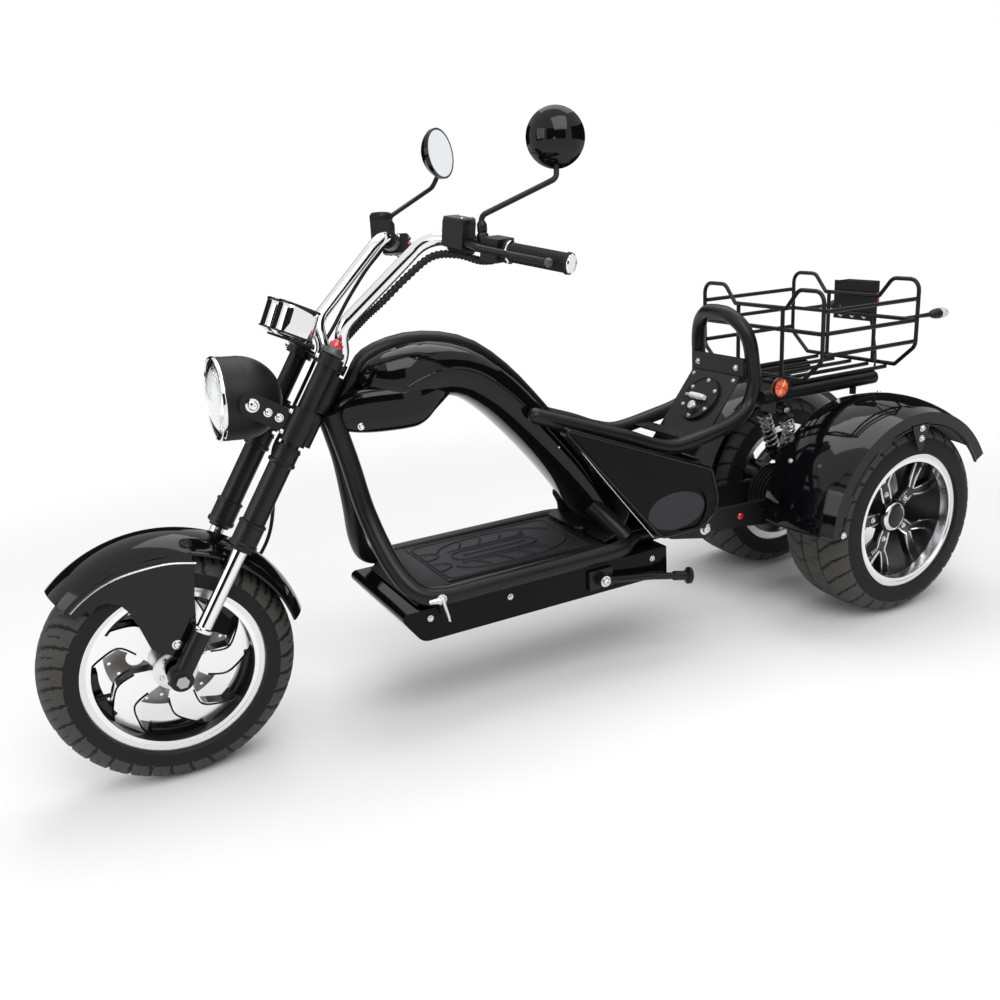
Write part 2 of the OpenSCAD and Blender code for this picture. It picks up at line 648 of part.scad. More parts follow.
// Battery box under the deck tubes, its nose curved up in front
box_y = deck_y;
box_top = deck_z - down_r - gap;
box_z = box_top - box_h;
box_wall = 3;
box_x = deck_rear_x - 130;
nose_r = 30;
nose_x = 20;
lip_r = 12;
lip_x = 60;
module box_side(inset) hull() {
    translate([box_x + inset, box_z + inset]) square([10, box_h - 2*inset]);
    translate([deck_front_x + nose_x, box_z + nose_r]) circle(nose_r - inset, $fn = 32);
    translate([deck_front_x + lip_x, box_top - lip_r]) circle(lip_r - inset, $fn = 32);
}
module battery_box() color("#0d0d0e") difference() {
    side_frame([0, 0, 0], 2*box_y) box_side(0);
    side_frame([0, 0, 0], 2*(box_y - box_wall)) box_side(box_wall);
}
cell_l = 380;
cell_w = 220;
cell_back = 60;
module battery() color("#222222") translate([box_x + cell_back, -cell_w/2, box_z + box_wall])
    cube([cell_l, cell_w, box_h - 4*box_wall]);

// Seat well between the side panels, carried by posts on the frame tubes
seat_y = seat_w/2;
rail_r = rail_d/2;
rail_z = deck_z + rail_rise;
well_y = seat_y - 4;
well_z = deck_z + 88;
well_h = 62;
well_t = 4;
module seat_well() color("#121213") difference() {
    translate([well_x0, -well_y, well_z]) cube([well_x1 - well_x0, 2*well_y, well_h]);
    translate([well_x0 + well_t, well_t - well_y, well_z + well_t])
        cube([well_x1 - well_x0 - 2*well_t, 2*(well_y - well_t), well_h]);
}

// Side panels: X from the well, Z from the deck tubes and corner radius of the outline
panel = [[372, 282, 10], [30, 118, 34], [50, 68, 66], [130, 46, 44]];
panel_y = seat_y + rail_r + gap;
panel_t = 22;
panel_disc_r = 52;
panel_disc = [72, 58];
panel_disc_h = 8;
// Bosses from the panels to the walls of the well: X from the well and Z from the deck tubes
panel_bosses = [[30, 120], [150, 120]];
panel_boss_r = 10;
module seat_panels() color("#0c0c0d") mirrored() difference() {
    union() {
        side_frame([well_x0, panel_y + panel_t/2, deck_z], panel_t)
            hull() for (c = panel) translate([c[0], c[1]]) circle(c[2], $fn = 48);
        for (b = panel_bosses) translate([well_x0 + b[0], 0, deck_z + b[1]])
            rod([0, well_y + gap, 0], [0, panel_y + 1, 0], panel_boss_r);
    }
    translate([well_x0 + panel_disc[0], panel_y + panel_t, deck_z + panel_disc[1]]) rotate([90, 0, 0])
        cylinder(h = panel_disc_h, r = panel_disc_r, center = true);
}

// Plate across the rails that takes the seat's latch
bracket_x = well_x0 + 14;
bracket_w = 44;
bracket_t = 4;
bracket_z = rail_z + 10;
bolt_dx = 24;
bolt_dy = 120;
bolt_r = 4.2;
module seat_bracket() color("#1a1a1b") translate([bracket_x, 0, bracket_z]) difference() {
    cube([bracket_w, 2*(seat_y - rail_r - gap), bracket_t], center = true);
    for (y = [-1, 1], x = [-1, 1]) translate([x*bolt_dx/2, y*bolt_dy/2, 0])
        cylinder(h = 2*bracket_t, r = bolt_r, center = true);
}

// Seat rails from the sides of the arch, back past the well and up into the loop
rear_c_y = rear_track/2;
rack_r = 16;
rear_fender_r = rear_r + fender_clear;
rack_lift = 6;
rack_z = rear_r + rear_fender_r + rack_r + rack_lift;
loop_z = rack_z + loop_rise - rail_r;
loop_x = 306;
loop_half = 30;
rail_row = 7*row_steps;
rail_front = [arch_at(rail_row)[0], arch_row(rail_row)[3] + rail_r + gap, arch_at(rail_row)[1]];
// Bends along the well: X from its rear wall, Z from the rail's lowest bend
rail_bends = [[well_x1 - well_x0, 45], [74, 0], [-40, 20]];
// Bends of the loop: X from the loop's foot, Y inward from the rails, Z from the rack
loop_bends = [[28, 14, rail_z + 45 - rack_z], [-3, 16, 38], [6, 24, 122], [19, 52, loop_z - 22 - rack_z]];
loop_lean = 28;
rail_path = concat([rail_front], [for (b = rail_bends) [well_x0 + b[0], seat_y, rail_z + b[1]]],
    [for (b = loop_bends) [loop_x + b[0], seat_y - b[1], rack_z + b[2]]],
    [[loop_x + loop_lean, loop_half, loop_z]]);
rail_bend = 34;
module seat_rails() color("#161616") pipe(concat(rail_path,
    [for (i = [len(rail_path)-1:-1:0]) [rail_path[i][0], -rail_path[i][1], rail_path[i][2]]]),
    rail_r, rail_bend);

// Cross plate in front of the loop and sloped plate from it to the well
cross_x = loop_x + rail_r + 3;
cross_t = 6;
cross_z0 = rack_z + 45;
cross_h = 48;
cross_y = seat_y - 25;
cover_t = 4;
cover_y = seat_y - rail_r - 15;
cover_top = [cross_x + cross_t + gap, cross_z0 + 3];
cover_foot = [well_x0 - 2, well_z + well_h + gap];
cover_u = unit(cover_foot - cover_top);
cover_n = [-cover_u[1], cover_u[0]];
module back_plates() color("#171717") union() {
    translate([cross_x, -cross_y, cross_z0]) cube([cross_t, 2*cross_y, cross_h]);
    side_frame([0, 0, 0], 2*cover_y)
        polygon([cover_top, cover_top + cover_t*cover_n, cover_foot + cover_t*cover_n, cover_foot]);
}

// Round plate of the seat lock, on the sloped plate
lock_r = 58;
lock_t = 6;
lock_s = 74;
lock_c = cover_top + lock_s*cover_u + (cover_t + gap)*cover_n;
module lock_plate() color("#151515") aim([lock_c[0], 0, lock_c[1]], [cover_n[0], 0, cover_n[1]])
    cylinder(h = lock_t, r = lock_r);

// Swing arm plates from the pivot bolt to the axle tube
swing_y = 72;
swing_t = 14;
swing_pivot_r = 22;
swing_axle_r = 40;
axle_tube_r = 24;
module swing_arm() color("#161616") mirrored() side_frame([0, swing_y + swing_t/2, 0], swing_t) difference() {
    hull() {
        translate([pivot_x, pivot_z]) circle(swing_pivot_r);
        translate([0, rear_r]) circle(swing_axle_r);
    }
    translate([pivot_x, pivot_z]) circle(pivot_r + gap);
    translate([0, rear_r]) circle(axle_tube_r + gap);
}

// Axle tube with its differential, finned motor and a lug for the shocks
rear_axle_r = 13;
axle_tube_short = 40;
axle_past = 24;
rear_hub_r = 42;
rear_hub_l = 76;
rear_hub_out = 16;
rear_bore_end = axle_past + 2;
dish = 66;
motor_r = 72;
motor_x = 118;
motor_w = 96;
motor_lift = 16;
fin_h = 5;
fin_t = 4;
fin_pitch = 12;
fin_rows = 3;
diff_r = 56;
shock_y = 40;
eye_r = 12;
eye_w = 20;
pin_r = 5;
lug_w = 2*(shock_y - eye_w/2 - 2);
lug_l = 24;
pin_l = 2*(shock_y + eye_w/2 + 4);
shock_foot_x = 104;
shock_lift = 110;
shock_lean = 52;
shock_drop = 60;
shock_foot = [shock_foot_x, shock_y, rear_r + shock_lift];
shock_top = [shock_foot_x + shock_lean, shock_y, rack_z - shock_drop];
module pin_at(p) translate([p[0], 0, p[2]]) rotate([90, 0, 0]) cylinder(h = pin_l, r = pin_r, center = true);
module rear_axle() color("#1c1c1c") union() {
    axle_frame([0, 0, rear_r]) {
        cylinder(h = 2*(rear_c_y - axle_tube_short), r = axle_tube_r, center = true);
        cylinder(h = 2*(rear_c_y + axle_past), r = rear_axle_r, center = true);
        cylinder(h = motor_w, r = diff_r, center = true);
        translate([motor_x, -motor_lift, 0]) cylinder(h = motor_w, r = motor_r, center = true);
        for (i = [-fin_rows:fin_rows]) translate([motor_x, -motor_lift, i*fin_pitch])
            cylinder(h = fin_t, r = motor_r + fin_h, center = true);
    }
    translate([shock_foot[0] - lug_l/2, -lug_w/2, rear_r + motor_r])
        cube([lug_l, lug_w, shock_foot[2] - rear_r - motor_r + eye_r]);
    pin_at(shock_foot);
}

// Shock with an eye on each pin and a wide spring
spring_r = 19;
damper_r = 11;
damper_end = 8;
// Share of the way from the foot to the top where the spring starts and ends
spring_part = [0.18, 0.86];
shock_d = shock_top - shock_foot;
module shocks() color("#202020") mirrored() difference() {
    union() {
        for (p = [shock_foot, shock_top]) translate(p) rotate([90, 0, 0])
            cylinder(h = eye_w, r = eye_r, center = true);
        rod(shock_foot + damper_end*unit(shock_d), shock_top - damper_end*unit(shock_d), damper_r);
        rod(shock_foot + spring_part[0]*shock_d, shock_foot + spring_part[1]*shock_d, spring_r);
    }
    for (p = [shock_foot, shock_top]) translate(p) rotate([90, 0, 0])
        cylinder(h = 2*eye_w, r = pin_r + gap, center = true);
}

// Brackets of the frame: pivot bolt and gussets, posts of the well, shock bridge, fender mounts, stand plate
gusset_t = 8;
gusset_r = 24;
gusset_l = 90;
gusset_y = pivot_y + down_r + gap;
post_r = 10;
post_xs = [well_x0 + 50, well_x0 + 130];
bridge_r = 12;
hanger_t = 24;
spacer_r = 8;
stand_x = deck_rear_x + 51;
stand_z = deck_z - 52;
stand_plate = [60, 8, 44];
stand_pin_r = 6;
stand_eye_r = 15;
stand_eye_w = 12;
stand_y = box_y + 2*gap + stand_plate[1];
fender_rod = [266, rear_r + 24];
stand_pin_past = 4;
module frame_brackets() color("#191919") {
    mirrored() side_frame([0, gusset_y + gusset_t/2, 0], gusset_t) hull() {
        translate([pivot_x, pivot_z]) circle(gusset_r);
        translate([pivot_x + gusset_l, deck_z]) circle(down_r);
    }
    rod([pivot_x, -gusset_y - gusset_t, pivot_z], [pivot_x, gusset_y + gusset_t, pivot_z], pivot_r);
    for (x = post_xs) mirrored() rod([x, pivot_y, deck_z + down_r + gap], [x, pivot_y, well_z - gap], post_r);
    rod([shock_top[0], -rack_y + rack_r + gap, rack_z],
        [shock_top[0], rack_y - rack_r - gap, rack_z], bridge_r);
    translate([shock_top[0] - hanger_t/2, -lug_w/2, shock_top[2] - eye_r])
        cube([hanger_t, lug_w, rack_z - shock_top[2] + eye_r]);
    pin_at(shock_top);
    mirrored() rod([0, rack_y, rear_r + fender_at(rack_y + spacer_r - rear_c_y) + gap],
        [0, rack_y, rack_z - rack_r - gap], spacer_r);
    mirrored() rod([fender_rod[0], swing_y + swing_t + gap, fender_rod[1]],
        [fender_rod[0], rear_c_y - rear_fender_y - gap, fender_rod[1]], spacer_r);
    translate([stand_x - stand_plate[0]/2, box_y + gap, stand_z - stand_plate[2]/2]) cube(stand_plate);
    rod([stand_x, stand_y - 1, stand_z],
        [stand_x, stand_y + stand_eye_w + stand_pin_past, stand_z], stand_pin_r);
}

// Rear wheels: deep barrel, forked spokes set back from the outer face
rear_spoke_t = 22;
rear_stem = [[rear_hub_r - 6, -18, 18], [86, -9, 9]];
rear_fork = [[68, -7, 9], [112, 6, 17], [blade_end, 10, 20]];
module rear_tyre() axle_frame([0, rear_c_y, rear_r]) tyre(rear_r, rear_tyre_w, rear_rim_w, rear_shoulder);
module rear_rim() axle_frame([0, rear_c_y, rear_r]) difference() {
    union() {
        barrel(rear_rim_w);
        translate([0, 0, rear_rim_w/2 - dish]) {
            spokes(rear_stem, rear_spoke_t);
            spokes(rear_fork, rear_spoke_t);
            mirror([0, 1, 0]) spokes(rear_fork, rear_spoke_t);
        }
        translate([0, 0, rear_rim_w/2 - dish + rear_hub_out - rear_hub_l])
            cylinder(h = rear_hub_l, r = rear_hub_r);
    }
    translate([0, 0, -rear_rim_w]) cylinder(h = rear_rim_w + rear_bore_end, r = rear_axle_r + gap);
}
module rear_tyre_left() color("#1c1c1d") rear_tyre();
module rear_tyre_right() color("#1c1c1d") mirror([0, 1, 0]) rear_tyre();
module rear_rim_left() color("#d6d6d8") rear_rim();
module rear_rim_right() color("#d6d6d8") mirror([0, 1, 0]) rear_rim();

// Rear fender: crown offset inward, outer skirt over the tyre's shoulder and a short inner flange
rear_fender_y = rear_tyre_w/2 + 9;
rear_fender_t = 4;
crown_y = -14;
crown_bow = 0.0016;
crown_steps = 8;
skirt_r = rear_r - 4;
flange_drop = 18;
fender_front_a = 3;
fender_rear_a = 151;
function fender_at(y) = rear_fender_r - crown_bow*pow(y - crown_y, 2);
crown_ys = [for (k = [0:crown_steps]) rear_fender_y*(2*k/crown_steps - 1)];
fender_section = concat([[fender_at(-rear_fender_y) - flange_drop, -rear_fender_y]],
    [for (y = crown_ys) [fender_at(y), y]],
    [[skirt_r, rear_fender_y], [skirt_r, rear_fender_y - rear_fender_t]],
    [for (k = [crown_steps:-1:0]) let(y = crown_ys[k]*(1 - rear_fender_t/rear_fender_y))
        [fender_at(y) - rear_fender_t, y]],
    [[fender_at(-rear_fender_y) - flange_drop, rear_fender_t - rear_fender_y]]);
module rear_fender() translate([0, rear_c_y, rear_r]) rotate([90, 0, 0]) rotate(fender_front_a)
    rotate_extrude(angle = fender_rear_a - fender_front_a) mirror([0, 1, 0]) polygon(fender_section);
module rear_fender_left() color("#0c0c0d") rear_fender();
module rear_fender_right() color("#0c0c0d") mirror([0, 1, 0]) rear_fender();

rack_y = 118;
rack_front_x = loop_x - 9;
rack_rear_x = -70;
module rack() color("#181818") mirrored()
    rod([rack_rear_x, rack_y, rack_z], [rack_front_x, rack_y, rack_z], rack_r);

// Basket of wire on the rack tubes
wire_r = wire_d/2;
basket_x1 = 200;
basket_x0 = basket_x1 - basket_l;
basket_y = basket_w/2;
basket_z = rack_z + rack_r + wire_r + gap;
rail_low = basket_z + wire_d + gap;
top_z = basket_z + basket_h;
handle_rise = 44;
handle_w = 80;
handle_lean = 40;
handle_foot_y = basket_y - handle_w - handle_lean;
wire_bend = 26;
// The posts turn inward below this height to the foot rail on the rack tubes
chamfer_h = 50;
chamfer_z = rail_low + chamfer_h;
foot_in = 60;
foot_y = basket_y - foot_in;
upright_in = 12;
upright_y = handle_foot_y - upright_in;
floor_pitch = rack_y/2;
rail_step = 12;
rail_zs = [chamfer_z + rail_step, (chamfer_z + top_z + rail_step)/2, top_z];
// Flat end of the basket: corner posts with handle loops, cross rails and two uprights
module basket_end(x) color("#151515") union() {
    mirrored() pipe([[x, handle_foot_y, top_z], [x, basket_y - handle_w, top_z + handle_rise],
        [x, basket_y, top_z + handle_rise], [x, basket_y, chamfer_z], [x, foot_y, rail_low]],
        wire_r, wire_bend);
    rod([x, -handle_foot_y, top_z], [x, handle_foot_y, top_z], wire_r);
    rod([x, -basket_y, rail_zs[1]], [x, basket_y, rail_zs[1]], wire_r);
    rod([x, -foot_y, rail_low], [x, foot_y, rail_low], wire_r);
    mirrored() rod([x, upright_y, rail_low], [x, upright_y, top_z], wire_r);
}
module basket_side(y) color("#151515") for (z = rail_zs)
    rod([basket_x0 + wire_r + gap, y, z], [basket_x1 - wire_r - gap, y, z], wire_r);
module basket_front() basket_end(basket_x1);
module basket_rear() basket_end(basket_x0);
module basket_left() basket_side(basket_y);
module basket_right() basket_side(-basket_y);
module basket_floor() color("#151515") for (k = [-2:2])
    rod([basket_x0 - wire_r, k*floor_pitch, basket_z], [basket_x1 + wire_r, k*floor_pitch, basket_z], wire_r);

reflector_r = 23;
reflector_t = 8;
reflector_x = rack_front_x - 40;
module reflectors() color("#e2521d") mirrored()
    axle_frame([reflector_x, rack_y + rack_r + gap, rack_z + reflector_r - 1])
    cylinder(h = reflector_t, r = reflector_r);

// Plate holder with a lamp over it, on the rails of the basket's rear end
plate_t = 3;
plate_x = basket_x0 - wire_r - gap - plate_t;
plate_size = [132, 96];
plate_low = 16;
plate_z = rail_zs[1] - plate_low;
plate_holes = 90;
plate_bolt_r = 3.2;
lamp_size = [34, 104, 30];
module tail_lamp() color("#1a1a1a") translate([plate_x, 0, plate_z]) difference() {
    union() {
        translate([0, -plate_size[0]/2, 0]) cube([plate_t, plate_size[0], plate_size[1]]);
        translate([-lamp_size[0], -lamp_size[1]/2, plate_size[1] - lamp_size[2]]) cube(lamp_size);
    }
    for (y = [-1, 1]) translate([0, y*plate_holes/2, plate_size[1]/3]) rotate([0, 90, 0])
        cylinder(h = 4*plate_t, r = plate_bolt_r, center = true);
}

// Rear turn signals on stalks from the middle rail
signal_in = 40;
signal_y = basket_y - signal_in;
signal_r = 17;
signal_l = 64;
signal_stalk_r = 5;
module turn_signals() color("#1a1a1a") mirrored() union() {
    rod([basket_x0 - wire_r - gap, signal_y, rail_zs[1]],
        [signal_l/2 - lamp_reach, signal_y, rail_zs[1]], signal_stalk_r);
    rod([-lamp_reach, signal_y, rail_zs[1]], [signal_l - lamp_reach, signal_y, rail_zs[1]], signal_r);
}

// Side stand folded back along the box: eye on the pin, bent leg
stand_leg_r = 8;
stand_foot = [-206, 24, -32];
module side_stand() color("#1a1a1a") difference() {
    union() {
        axle_frame([stand_x, stand_y, stand_z]) cylinder(h = stand_eye_w, r = stand_eye_r);
        translate([stand_x, stand_y + stand_leg_r, stand_z])
            pipe([[-8, 0, -2], 0.6*stand_foot - [0, 8, 0], stand_foot], stand_leg_r, 40);
    }
    axle_frame([stand_x, stand_y, stand_z]) cylinder(h = 4*stand_eye_w, r = stand_pin_r + gap, center = true);
}

module place() translate([-x_mid, 0, 0]) children();

place() front_tyre();
place() front_rim();
place() front_disc();
place() front_axle();
place() fork_tubes();
place() fork_stanchions();
place() fork_lugs();
place() triple_clamps();
place() brake_caliper();
place() front_fender();
place() headlight_bucket();
place() headlight_lens();
place() gauge_pods();
place() risers();
place() handlebar();
place() grips();
place() brake_levers();
place() master_cylinders();
place() switch_pods();
place() mirror_stems();
place() mirrors();
place() mirror_glass();
place() head_tube();
place() frame_tubes();
place() frame_brackets();
place() backbone();
place() arch_body();
place() deck_tray();
place() deck_mat();
place() battery_box();
place() battery();
place() seat_panels();
place() seat_well();
place() seat_bracket();
place() seat_rails();
place() back_plates();
place() lock_plate();
place() swing_arm();
place() rear_axle();
place() shocks();
place() rear_tyre_left();
place() rear_tyre_right();
place() rear_rim_left();
place() rear_rim_right();
place() rear_fender_left();
place() rear_fender_right();
place() rack();
place() basket_front();
place() basket_rear();
place() basket_left();
place() basket_right();
place() basket_floor();
place() reflectors();
place() tail_lamp();
place() turn_signals();
place() side_stand();
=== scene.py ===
"""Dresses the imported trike: materials on every CAD node, fine pieces on their bodies, floor, light and camera.

Metres in the row frame. Places come from the frame's boxes and joints, and from a few sizes of the source.
"""

import json
from math import ceil, cos, pi, radians, sin, tan

import bpy
import numpy as np
from mathutils import Matrix, Quaternion, Vector


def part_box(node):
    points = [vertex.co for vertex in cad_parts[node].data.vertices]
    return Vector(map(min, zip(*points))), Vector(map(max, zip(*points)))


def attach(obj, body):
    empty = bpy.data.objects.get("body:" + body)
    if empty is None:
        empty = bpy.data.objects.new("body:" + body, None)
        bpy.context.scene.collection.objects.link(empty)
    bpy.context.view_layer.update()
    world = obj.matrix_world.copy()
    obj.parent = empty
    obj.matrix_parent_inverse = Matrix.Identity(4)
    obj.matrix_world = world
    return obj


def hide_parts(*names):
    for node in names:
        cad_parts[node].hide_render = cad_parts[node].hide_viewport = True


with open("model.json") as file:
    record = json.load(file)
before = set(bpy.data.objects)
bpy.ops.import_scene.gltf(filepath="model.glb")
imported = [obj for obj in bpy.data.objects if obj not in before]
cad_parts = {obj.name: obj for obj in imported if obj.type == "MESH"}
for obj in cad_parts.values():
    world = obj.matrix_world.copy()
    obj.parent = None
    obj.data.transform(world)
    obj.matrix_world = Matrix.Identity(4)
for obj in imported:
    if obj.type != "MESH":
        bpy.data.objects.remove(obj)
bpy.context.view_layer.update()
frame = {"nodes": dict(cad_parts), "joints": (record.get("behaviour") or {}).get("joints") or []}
NODES = frame["nodes"]
X, Y, Z = Vector((1, 0, 0)), Vector((0, 1, 0)), Vector((0, 0, 1))


def centre(node):
    low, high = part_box(node)
    return (Vector(low) + Vector(high)) / 2


FRONT = centre("front_tyre")
REAR = {side: centre("rear_tyre_" + side) for side in ("left", "right")}
STEER = next(j for j in frame["joints"] if j["name"] == "steer")
LEG_U = Vector(STEER["axis"])
LEG_N = Vector((LEG_U.z, 0, -LEG_U.x))
SIDES = (1, -1)


def at(x, y, z):
    """Point from the rear axle's X, the middle of the width and the floor, in millimetres as in the source."""
    return Vector((REAR["left"].x + x / 1000, y / 1000, z / 1000))


def on_leg(s, side=0.0):
    """Point on a fork leg, s millimetres up from the axle."""
    return FRONT + LEG_U * s / 1000 + Y * side * FORK_SPAN / 2


FORK_SPAN = 0.176
FORK_LENGTH = 652
FLANGE_R = 0.165
HEADLIGHT_AXIS = Vector((cos(radians(4)), 0, sin(radians(4))))


def shader_node(owner, kind, **inputs):
    """Adds a shader node and sets its named inputs or properties."""
    made = owner.node_tree.nodes.new(kind)
    for key, value in inputs.items():
        if key in made.inputs:
            made.inputs[key].default_value = value
        else:
            setattr(made, key, value)
    return made


def fed(owner, kind, *feeds, **inputs):
    """Adds a shader node whose inputs take feeds in turn: sockets are linked, values are set."""
    made = shader_node(owner, kind, **inputs)
    for socket, feed in zip(made.inputs, feeds):
        if isinstance(feed, bpy.types.NodeSocket):
            owner.node_tree.links.new(feed, socket)
        else:
            socket.default_value = feed
    return made


def surface(name, colour, rough, *, metallic=0.0, shift=0.12, patch=9.0, rough_spread=0.06,
            grain=700.0, bump=0.0, coat=0.0, specular=0.5):
    """Procedural finish: colour and roughness drift over the piece, with a fine grain in the normal.

    shift is how far the colour drifts, patch and grain are noise scales per metre, bump is the grain's height.
    """
    material = bpy.data.materials.new(name)
    material.use_nodes = True
    links = material.node_tree.links.new
    shader = material.node_tree.nodes["Principled BSDF"]
    shader.inputs["Metallic"].default_value = metallic
    shader.inputs["Coat Weight"].default_value = coat
    shader.inputs["Coat Roughness"].default_value = 0.04
    shader.inputs["Specular IOR Level"].default_value = specular
    place = shader_node(material, "ShaderNodeTexCoord").outputs["Object"]
    drift = fed(material, "ShaderNodeTexNoise", place, Scale=patch, Detail=4.0).outputs["Fac"]
    ramp = fed(material, "ShaderNodeValToRGB", drift)
    low, high = ramp.color_ramp.elements
    low.position, high.position = 0.3, 0.7
    low.color = [c * (1 - shift) for c in colour] + [1]
    high.color = [min(1, c * (1 + shift)) for c in colour] + [1]
    links(ramp.outputs["Color"], shader.inputs["Base Color"])
    spread = fed(material, "ShaderNodeMapRange", drift, 0.0, 1.0, max(0.02, rough - rough_spread),
                 min(1.0, rough + rough_spread))
    links(spread.outputs["Result"], shader.inputs["Roughness"])
    if bump:
        fine = fed(material, "ShaderNodeTexNoise", place, Scale=grain, Detail=3.0)
        height = shader_node(material, "ShaderNodeBump", Strength=1.0, Distance=bump)
        links(fine.outputs["Fac"], height.inputs["Height"])
        links(height.outputs["Normal"], shader.inputs["Normal"])
    return material


def clear(name, colour, rough, transmission):
    """Finish that lets light through."""
    material = surface(name, colour, rough, shift=0.02, rough_spread=0.02)
    shader = material.node_tree.nodes["Principled BSDF"]
    shader.inputs["Transmission Weight"].default_value = transmission
    shader.inputs["IOR"].default_value = 1.45
    return material


GLOSS = surface("gloss_black", (0.003, 0.003, 0.004), 0.07, coat=0.14, rough_spread=0.03, specular=0.24)
DEEP = surface("deep_black", (0.003, 0.003, 0.004), 0.10, coat=0.03, rough_spread=0.03, specular=0.10)
SATIN = surface("satin_black", (0.008, 0.008, 0.009), 0.34, bump=0.00003, specular=0.26)
MATTE = surface("matte_black", (0.010, 0.010, 0.011), 0.50, bump=0.00006, specular=0.24)
PLASTIC = surface("moulded_black", (0.008, 0.008, 0.009), 0.42, bump=0.00005, grain=1500, specular=0.26)
RUBBER = surface("tyre_rubber", (0.009, 0.0086, 0.0084), 0.62, bump=0.00008, grain=900, specular=0.24)
MAT_RUBBER = surface("mat_rubber", (0.016, 0.016, 0.019), 0.55, bump=0.00010, grain=1200, specular=0.3)
CHROME = surface("chrome", (0.80, 0.80, 0.81), 0.05, metallic=1.0, shift=0.03, rough_spread=0.02)
ALLOY = surface("bright_alloy", (0.74, 0.74, 0.75), 0.22, metallic=1.0, shift=0.04)
STEEL = surface("brushed_steel", (0.42, 0.41, 0.40), 0.34, metallic=1.0, bump=0.00004)
ZINC = surface("zinc_plate", (0.72, 0.72, 0.70), 0.28, metallic=1.0, shift=0.08, bump=0.00003)
# Paler copy of the tyre rubber for the tread's outer face: painted light, set against the dark groove floors as
# painted shade
TREAD_PAINTED_LIGHT = surface("tread_rubber_painted_light", (0.050, 0.048, 0.046), 0.62, bump=0.00010, grain=900, specular=0.3)
GREY = surface("grey_cap", (0.09, 0.09, 0.092), 0.42, metallic=0.6, bump=0.00003)
WHITE = surface("white_plastic", (0.75, 0.75, 0.73), 0.4)
ORANGE = surface("orange_reflector", (0.80, 0.11, 0.02), 0.14, coat=1.0)
RED = surface("red_lens", (0.55, 0.01, 0.015), 0.14, coat=1.0)
GLASS = surface("mirror_glass", (0.80, 0.83, 0.85), 0.02, metallic=1.0, shift=0.02, rough_spread=0.01)
LENS = clear("clear_lens", (0.95, 0.97, 0.98), 0.04, 0.95)
SIGNAL = clear("signal_lens", (0.75, 0.76, 0.76), 0.12, 0.5)


# Rear barrels are polished from this far off the wheel's middle, and from this far in from the flange
POLISHED_FROM, POLISHED_LIP = 0.068, 0.0145
# Front rim: the barrel starts at this radius. A face with less than this share of its normal outward looks inward
BARREL_FROM, LOOKS_IN = 0.110, -0.6


def painted_rim(name, wheel, black_spokes):
    """Bright alloy with the inside of the barrel painted black, and the spokes too where asked.

    The mask comes from the piece's own normal and its distance from the wheel's axle.
    """
    material = surface(name, (0.86, 0.86, 0.87), 0.2, metallic=1.0, shift=0.04)
    links = material.node_tree.links.new
    shader = material.node_tree.nodes["Principled BSDF"]

    def vector(operation, *feeds, out=0):
        return fed(material, "ShaderNodeVectorMath", *feeds, operation=operation).outputs[out]

    def number(operation, *feeds):
        return fed(material, "ShaderNodeMath", *feeds, operation=operation).outputs[0]

    coords = shader_node(material, "ShaderNodeTexCoord").outputs
    from_axle = vector("SUBTRACT", coords["Object"], wheel)
    in_plane = vector("MULTIPLY", from_axle, (1, 0, 1))
    radius = vector("LENGTH", in_plane, out="Value")
    facing = vector("DOT_PRODUCT", vector("NORMALIZE", in_plane), coords["Normal"], out="Value")
    mask = number("LESS_THAN", facing, LOOKS_IN)
    if black_spokes:
        off_middle = number("ABSOLUTE", fed(material, "ShaderNodeSeparateXYZ", from_axle).outputs["Y"])
        mask = number("MAXIMUM", mask, number("LESS_THAN", radius, FLANGE_R - POLISHED_LIP))
        mask = number("MULTIPLY", mask, number("LESS_THAN", off_middle, POLISHED_FROM))
    else:
        mask = number("MULTIPLY", mask, number("GREATER_THAN", radius, BARREL_FROM))
    # A mix node keeps its sockets for numbers and for colours at different places
    for socket, kind, first, result, black in (("Base Color", "RGBA", 6, 2, (0.012, 0.012, 0.013, 1)),
                                               ("Roughness", "FLOAT", 2, 0, 0.3)):
        mix = fed(material, "ShaderNodeMix", mask, data_type=kind)
        links(shader.inputs[socket].links[0].from_socket, mix.inputs[first])
        mix.inputs[first + 1].default_value = black
        links(mix.outputs[result], shader.inputs[socket])
    links(number("SUBTRACT", 1.0, mask), shader.inputs["Metallic"])
    return material


FINISH = {
    GLOSS: ["arch_body", "front_fender", "rear_fender_left", "rear_fender_right", "mirrors"],
    DEEP: ["seat_panels", "battery_box"],
    SATIN: ["frame_tubes", "frame_brackets", "head_tube", "backbone", "triple_clamps", "swing_arm", "rack",
            "basket_front", "basket_rear", "basket_left", "basket_right", "basket_floor", "fork_lugs", "fork_tubes",
            "side_stand", "mirror_stems", "handlebar", "seat_well", "seat_bracket", "back_plates",
            "tail_lamp", "seat_rails"],
    MATTE: ["headlight_bucket", "lock_plate", "deck_tray", "rear_axle", "shocks", "battery"],
    PLASTIC: ["switch_pods", "master_cylinders", "brake_levers", "brake_caliper", "turn_signals"],
    RUBBER: ["front_tyre", "rear_tyre_left", "rear_tyre_right", "grips"],
    MAT_RUBBER: ["deck_mat"],
    CHROME: ["risers", "gauge_pods", "fork_stanchions"],
    painted_rim("front_rim_paint", FRONT, False): ["front_rim"],
    painted_rim("left_rim_paint", REAR["left"], True): ["rear_rim_left"],
    painted_rim("right_rim_paint", REAR["right"], True): ["rear_rim_right"],
    STEEL: ["front_disc", "front_axle"],
    ORANGE: ["reflectors"],
    GLASS: ["mirror_glass"],
    LENS: ["headlight_lens"],
}
for finish, names in FINISH.items():
    for name in names:
        NODES[name].data.materials.clear()
        NODES[name].data.materials.append(finish)

